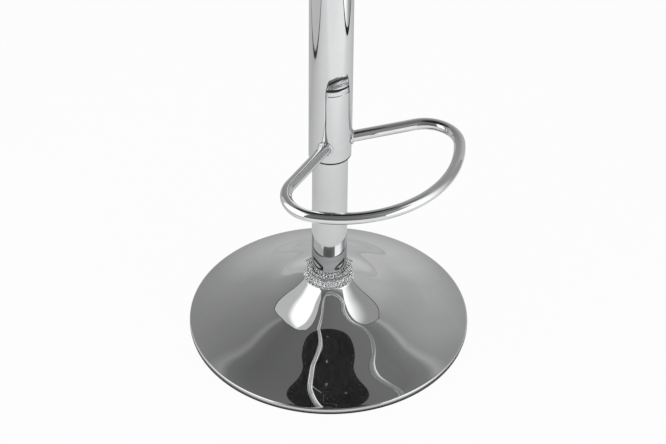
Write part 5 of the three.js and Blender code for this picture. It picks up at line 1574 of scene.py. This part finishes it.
dust_cloth = handled_finish(
    "dust_cloth", DUST_TONES, DUST_ROUGHNESS, DUST_WEAVE, 0, DUST_SCALES,
)
opening = [point[:2] for point in square_ring(DUST_OPENING_HALF, DUST_OPENING_CORNER, 0)]
opening = divided(opening, DUST_RING_STEP)
dust_points = []
for foot in (DUST_FOOT, DUST_FOOT + DUST_SHEET):
    for row in range(DUST_ROWS + 1):
        share = row / DUST_ROWS
        for x, y in opening:
            turn = math.atan2(y, x)
            wave = math.sin(DUST_WRINKLES * turn) * math.sin(math.pi * share) * DUST_WRINKLE
            dust_points.append((x + (DUST_RADIUS * math.cos(turn) - x) * share,
                                y + (DUST_RADIUS * math.sin(turn) - y) * share, foot + wave))
round_count = len(opening)
layer_count = round_count * (DUST_ROWS + 1)
dust_faces = []
for i in range(round_count):
    j = (i + 1) % round_count
    for row in range(DUST_ROWS):
        low, high = row * round_count, (row + 1) * round_count
        dust_faces.append((low + i, low + j, high + j, high + i))
        dust_faces.append((layer_count + low + i, layer_count + high + i,
                           layer_count + high + j, layer_count + low + j))
    for row in (0, DUST_ROWS * round_count):
        dust_faces.append((row + i, row + j, layer_count + row + j, layer_count + row + i))
dust_cover = fit(
    finished_mesh("dust_cover", dust_points, dust_faces),
    dust_cloth, "seat_unit", "lining_cloth", "seat_dust_cover",
)
round_ring, start, end = new_tree(
    "round_a_ring", ("Radius", "NodeSocketFloat"), ("Count", "NodeSocketInt"),
    ("Finish", "NodeSocketMaterial"),
)
ring_points = add_node(round_ring, "GeometryNodeMeshCircle")
index = add_node(round_ring, "GeometryNodeInputIndex")
share_round = add_node(round_ring, "ShaderNodeMath", operation="DIVIDE")
turn_round = add_node(round_ring, "ShaderNodeMath", operation="MULTIPLY")
turn_round.inputs[1].default_value = 2 * math.pi
turn_up = add_node(round_ring, "ShaderNodeCombineXYZ")
on_ring = add_node(round_ring, "GeometryNodeInstanceOnPoints")
real_ring = add_node(round_ring, "GeometryNodeRealizeInstances")
coat_ring = add_node(round_ring, "GeometryNodeSetMaterial")
link_nodes(
    round_ring,
    (start.outputs["Radius"], ring_points.inputs["Radius"]),
    (start.outputs["Count"], ring_points.inputs["Vertices"]),
    (index.outputs[0], share_round.inputs[0]),
    (start.outputs["Count"], share_round.inputs[1]),
    (share_round.outputs[0], turn_round.inputs[0]),
    (turn_round.outputs[0], turn_up.inputs["Z"]),
    (ring_points.outputs["Mesh"], on_ring.inputs["Points"]),
    (turn_up.outputs[0], on_ring.inputs["Rotation"]),
    (start.outputs["Geometry"], on_ring.inputs["Instance"]),
    (on_ring.outputs["Instances"], real_ring.inputs["Geometry"]),
    (real_ring.outputs["Geometry"], coat_ring.inputs["Geometry"]),
    (start.outputs["Finish"], coat_ring.inputs["Material"]),
    (coat_ring.outputs["Geometry"], end.inputs["Geometry"]),
)
staple_path = [Vector((-STAPLE_HALF, STAPLE_LEG)), Vector((-STAPLE_HALF, 0)),
               Vector((STAPLE_HALF, 0)), Vector((STAPLE_HALF, STAPLE_LEG))]
staple = swept("staples", staple_path, STAPLE_WIRE, STAPLE_SIDES)
tangent = Matrix.Rotation(math.pi / 2, 4, "Z")
staple.transform(Matrix.Translation((0, 0, DUST_FOOT * MM)) @ tangent @ upright)
staples = bpy.data.objects.new("staples", repeated(
    staple, round_ring, radius=STAPLE_RADIUS * MM, count=DUST_WRINKLES, finish=bare_steel,
))
scene.collection.objects.link(staples)
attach(staples, "seat_unit")

# Seat cushion: foam under black leatherette, sewn from a round top panel and a side band
# with piping between them. The cover is pulled round the board's edge and stapled below.
CUSHION_OUTLINE = (
    (0, 746.4), (183.6, 746.4), (183.6, 734.2), (187.5, 733.9), (191.5, 739), (193.4, 747),
    (193.6, 758), (192.4, 770), (190.2, 781), (187.6, 788.2), (184.2, 790.8), (168, 794.4),
    (140, 797.6), (100, 799.6), (50, 800.4), (0, 800.6),
)
CUSHION_ROW = 6.0
CUSHION_SIDES = 128
CUSHION_VOXEL = 4.5
CUSHION_PRESSURE = 4.0
CUSHION_FRAMES = 20
CUSHION_CAP = 5.0
SEAM_RADIUS = 187.6
SEAM_HEIGHT = 789.3
SEAM_HOLD = 6.5
SEAM_GROOVE = 1.3
SEAM_GROOVE_WIDTH = 3.4
PUCKER_DEPTH = 0.75
PUCKER_COUNT = 84
PUCKER_REACH = 13.0
PUCKER_DRIFT = 2.4
PUCKER_DRIFT_WAVES = (5, 13)
SLACK_DEPTH = 0.8
SLACK_SCALE = 22.0
HEM_TOP = 735.5
BOARD_HOLD_REACH = 0.002
BOARD_HOLD_RISE = 1
SOFT_FOOT_RISE = 6
PIPING_RADIUS = 2.7
PIPING_SET_IN = 1.0
PIPING_SIDES = 20
PIPING_STEP = 3.0
TURN_IN_RADII = (179.4, 184.6)
TURN_IN_FOOT = 732.9
TURN_IN_TOP = 733.6
TURN_IN_WRAP_RADIUS = 183.1
TURN_IN_WRAP_TOP = 741.0
TURN_IN_FILLET = 0.35
STITCH_COUNT = 250
STITCH_SIDES = 6
STITCH_STATIONS = ((-1, 0.4), (-0.6, 0.9), (0, 1), (0.6, 0.9), (1, 0.4))
STITCH_HALF = 1.55
STITCH_RADIUS = 0.36
STITCH_ROWS = ((181.6, 791.95), (190.9, 783.0))
HIDE_TONES = ((0.011, 0.011, 0.012, 1), (0.023, 0.023, 0.024, 1))
HIDE_ROUGHNESS = (0.36, 0.5)
HIDE_SLACK = 0.00012
HIDE_GRAIN = 0.00016
HIDE_GRAIN_SCALE = 620.0
HIDE_PORE_SCALE = 2300.0
HIDE_PORE_SHARE = 0.3
HIDE_SCALES = (9.0, 180.0, 45.0)
THREAD_TONES = ((0.02, 0.02, 0.02, 1), (0.05, 0.05, 0.05, 1))
THREAD_ROUGHNESS = (0.6, 0.8)
THREAD_TWIST = 0.00008
THREAD_SCALES = (200.0, 900.0, 2800.0)

leatherette = handled_finish(
    "leatherette", HIDE_TONES, HIDE_ROUGHNESS, HIDE_SLACK, 0, HIDE_SCALES,
)
tree = leatherette.node_tree
shader = tree.nodes["Principled BSDF"]
slack_bump = next(node for node in tree.nodes if node.bl_idname == "ShaderNodeBump")
place = add_node(tree, "ShaderNodeTexCoord")
cells = add_node(tree, "ShaderNodeTexVoronoi", feature="SMOOTH_F1", scale=HIDE_GRAIN_SCALE)
pores = add_node(tree, "ShaderNodeTexNoise", scale=HIDE_PORE_SCALE, detail=2.0)
pore_share = add_node(tree, "ShaderNodeMath", operation="MULTIPLY_ADD")
pore_share.inputs[1].default_value = HIDE_PORE_SHARE
grain_bump = add_node(tree, "ShaderNodeBump", strength=1.0, distance=HIDE_GRAIN)
grain_bump.invert = True
link_nodes(
    tree,
    (place.outputs["Object"], cells.inputs["Vector"]),
    (place.outputs["Object"], pores.inputs["Vector"]),
    (pores.outputs["Fac"], pore_share.inputs[0]),
    (cells.outputs["Distance"], pore_share.inputs[2]),
    (pore_share.outputs[0], grain_bump.inputs["Height"]),
    (slack_bump.outputs["Normal"], grain_bump.inputs["Normal"]),
    (grain_bump.outputs["Normal"], shader.inputs["Normal"]),
)
thread = handled_finish(
    "thread", THREAD_TONES, THREAD_ROUGHNESS, THREAD_TWIST, 0, THREAD_SCALES,
)


def seam_distance(points):
    """How far each point is from the seam's circle, in metres."""
    return np.hypot(np.hypot(points[:, 0], points[:, 1]) - SEAM_RADIUS * MM,
                    points[:, 2] - SEAM_HEIGHT * MM)


def mesh_points(mesh):
    points = np.empty(len(mesh.vertices) * 3)
    mesh.vertices.foreach_get("co", points)
    return points.reshape(-1, 3)


def swollen(mesh):
    """The cushion's cover blown out by its foam, held at the seam, the hem and the board."""
    holder = bpy.data.objects.new("cushion_form", mesh)
    scene.collection.objects.link(holder)
    before = mesh_points(mesh)
    on_board = np.hypot(before[:, 0], before[:, 1]) < CUSHION_OUTLINE[1][0] * MM + BOARD_HOLD_REACH
    on_board &= before[:, 2] < (CUSHION_OUTLINE[0][1] + BOARD_HOLD_RISE) * MM
    kept = on_board | (before[:, 2] < HEM_TOP * MM) | (seam_distance(before) < SEAM_HOLD * MM)
    held = holder.vertex_groups.new(name="held")
    held.add([int(i) for i in np.nonzero(kept)[0]], 1.0, "REPLACE")
    cloth = holder.modifiers.new("cover", "CLOTH")
    cloth.settings.use_pressure = True
    cloth.settings.uniform_pressure_force = CUSHION_PRESSURE
    cloth.settings.effector_weights.gravity = 0
    cloth.settings.vertex_group_mass = "held"
    for number in range(1, CUSHION_FRAMES + 1):
        scene.frame_set(number)
    blown = baked(holder)
    moved = mesh_points(blown) - before
    length = np.linalg.norm(moved, axis=1)
    scene.frame_set(1)
    bpy.data.objects.remove(holder)
    cap = CUSHION_CAP * MM
    share = cap * np.tanh(length / cap) / np.maximum(length, MERGE_DISTANCE)
    blown.vertices.foreach_set("co", (before + moved * share[:, None]).ravel())
    return blown


cushion_outline = divided([tuple(corner) for corner in CUSHION_OUTLINE], CUSHION_ROW, closed=False)
cushion_mesh = turned("cushion", cushion_outline, CUSHION_SIDES)
cushion_mesh = finished_with(
    cushion_mesh, ("REMESH", {"mode": "VOXEL", "voxel_size": CUSHION_VOXEL * MM}),
)
cushion_mesh = swollen(cushion_mesh)
cushion_mesh = finished_with(cushion_mesh, ("SUBSURF", {"levels": 1, "render_levels": 1}))
cushion_mesh.name = "cushion"
points = mesh_points(cushion_mesh)
normals = np.array([tuple(normal.vector) for normal in cushion_mesh.vertex_normals])
away = seam_distance(points) / MM
turns = np.arctan2(points[:, 1], points[:, 0])
slow, quick = (wave * turns for wave in PUCKER_DRIFT_WAVES)
drift = PUCKER_DRIFT * np.sin(slow) + PUCKER_DRIFT * np.sin(quick + 1)
pucker = (0.5 + 0.5 * np.cos(PUCKER_COUNT * turns + drift)) * np.exp(-(away / PUCKER_REACH)**2)
groove = SEAM_GROOVE * np.exp(-(away / SEAM_GROOVE_WIDTH)**2)
free = points[:, 2] > (CUSHION_OUTLINE[0][1] + SOFT_FOOT_RISE) * MM
slack = np.array([noise.noise(Vector(point) * SLACK_SCALE) for point in points])
sink = (PUCKER_DEPTH * pucker + groove + SLACK_DEPTH * slack * (away > SEAM_HOLD)) * free
cushion_mesh.vertices.foreach_set("co", (points - normals * (sink * MM)[:, None]).ravel())
cushion_mesh.update()
cushion_mesh.shade_smooth()
cushion = fit(cushion_mesh, leatherette, "seat_unit", "leatherette", "seat_cushion")
seam_circle = [Vector(point) for point in arc_points(
    Vector((0, 0)), SEAM_RADIUS - PIPING_SET_IN, 0, 2 * math.pi, PIPING_STEP,
)[:-1]]
fit(
    swept("seat_piping", seam_circle, PIPING_RADIUS, PIPING_SIDES,
          SEAM_HEIGHT - PIPING_SET_IN, closed=True),
    leatherette, "seat_unit", "leatherette", "seat_cushion",
)
fit(
    turned("seat_turn_in", rounded([
        (TURN_IN_RADII[0], TURN_IN_FOOT), (TURN_IN_RADII[1], TURN_IN_FOOT, TURN_IN_FILLET),
        (TURN_IN_RADII[1], TURN_IN_WRAP_TOP), (TURN_IN_WRAP_RADIUS, TURN_IN_WRAP_TOP),
        (TURN_IN_WRAP_RADIUS, TURN_IN_TOP), (TURN_IN_RADII[0], TURN_IN_TOP),
    ])),
    leatherette, "seat_unit", "leatherette", "seat_cushion",
)
along_stitch, stitch_swell = zip(*STITCH_STATIONS)
stitch_path = [Vector((along * STITCH_HALF, 0)) for along in along_stitch]
stitch = swept("stitches", stitch_path, STITCH_RADIUS, STITCH_SIDES, swell=stitch_swell)
for row, (radius, height) in enumerate(STITCH_ROWS, 1):
    placed = stitch.copy()
    placed.name = f"seam_stitches_{row}"
    placed.transform(Matrix.Translation((0, 0, height * MM)) @ tangent)
    fit(
        repeated(placed, round_ring, radius=radius * MM, count=STITCH_COUNT, finish=thread),
        thread, "seat_unit", "leatherette", "seat_cushion",
    )
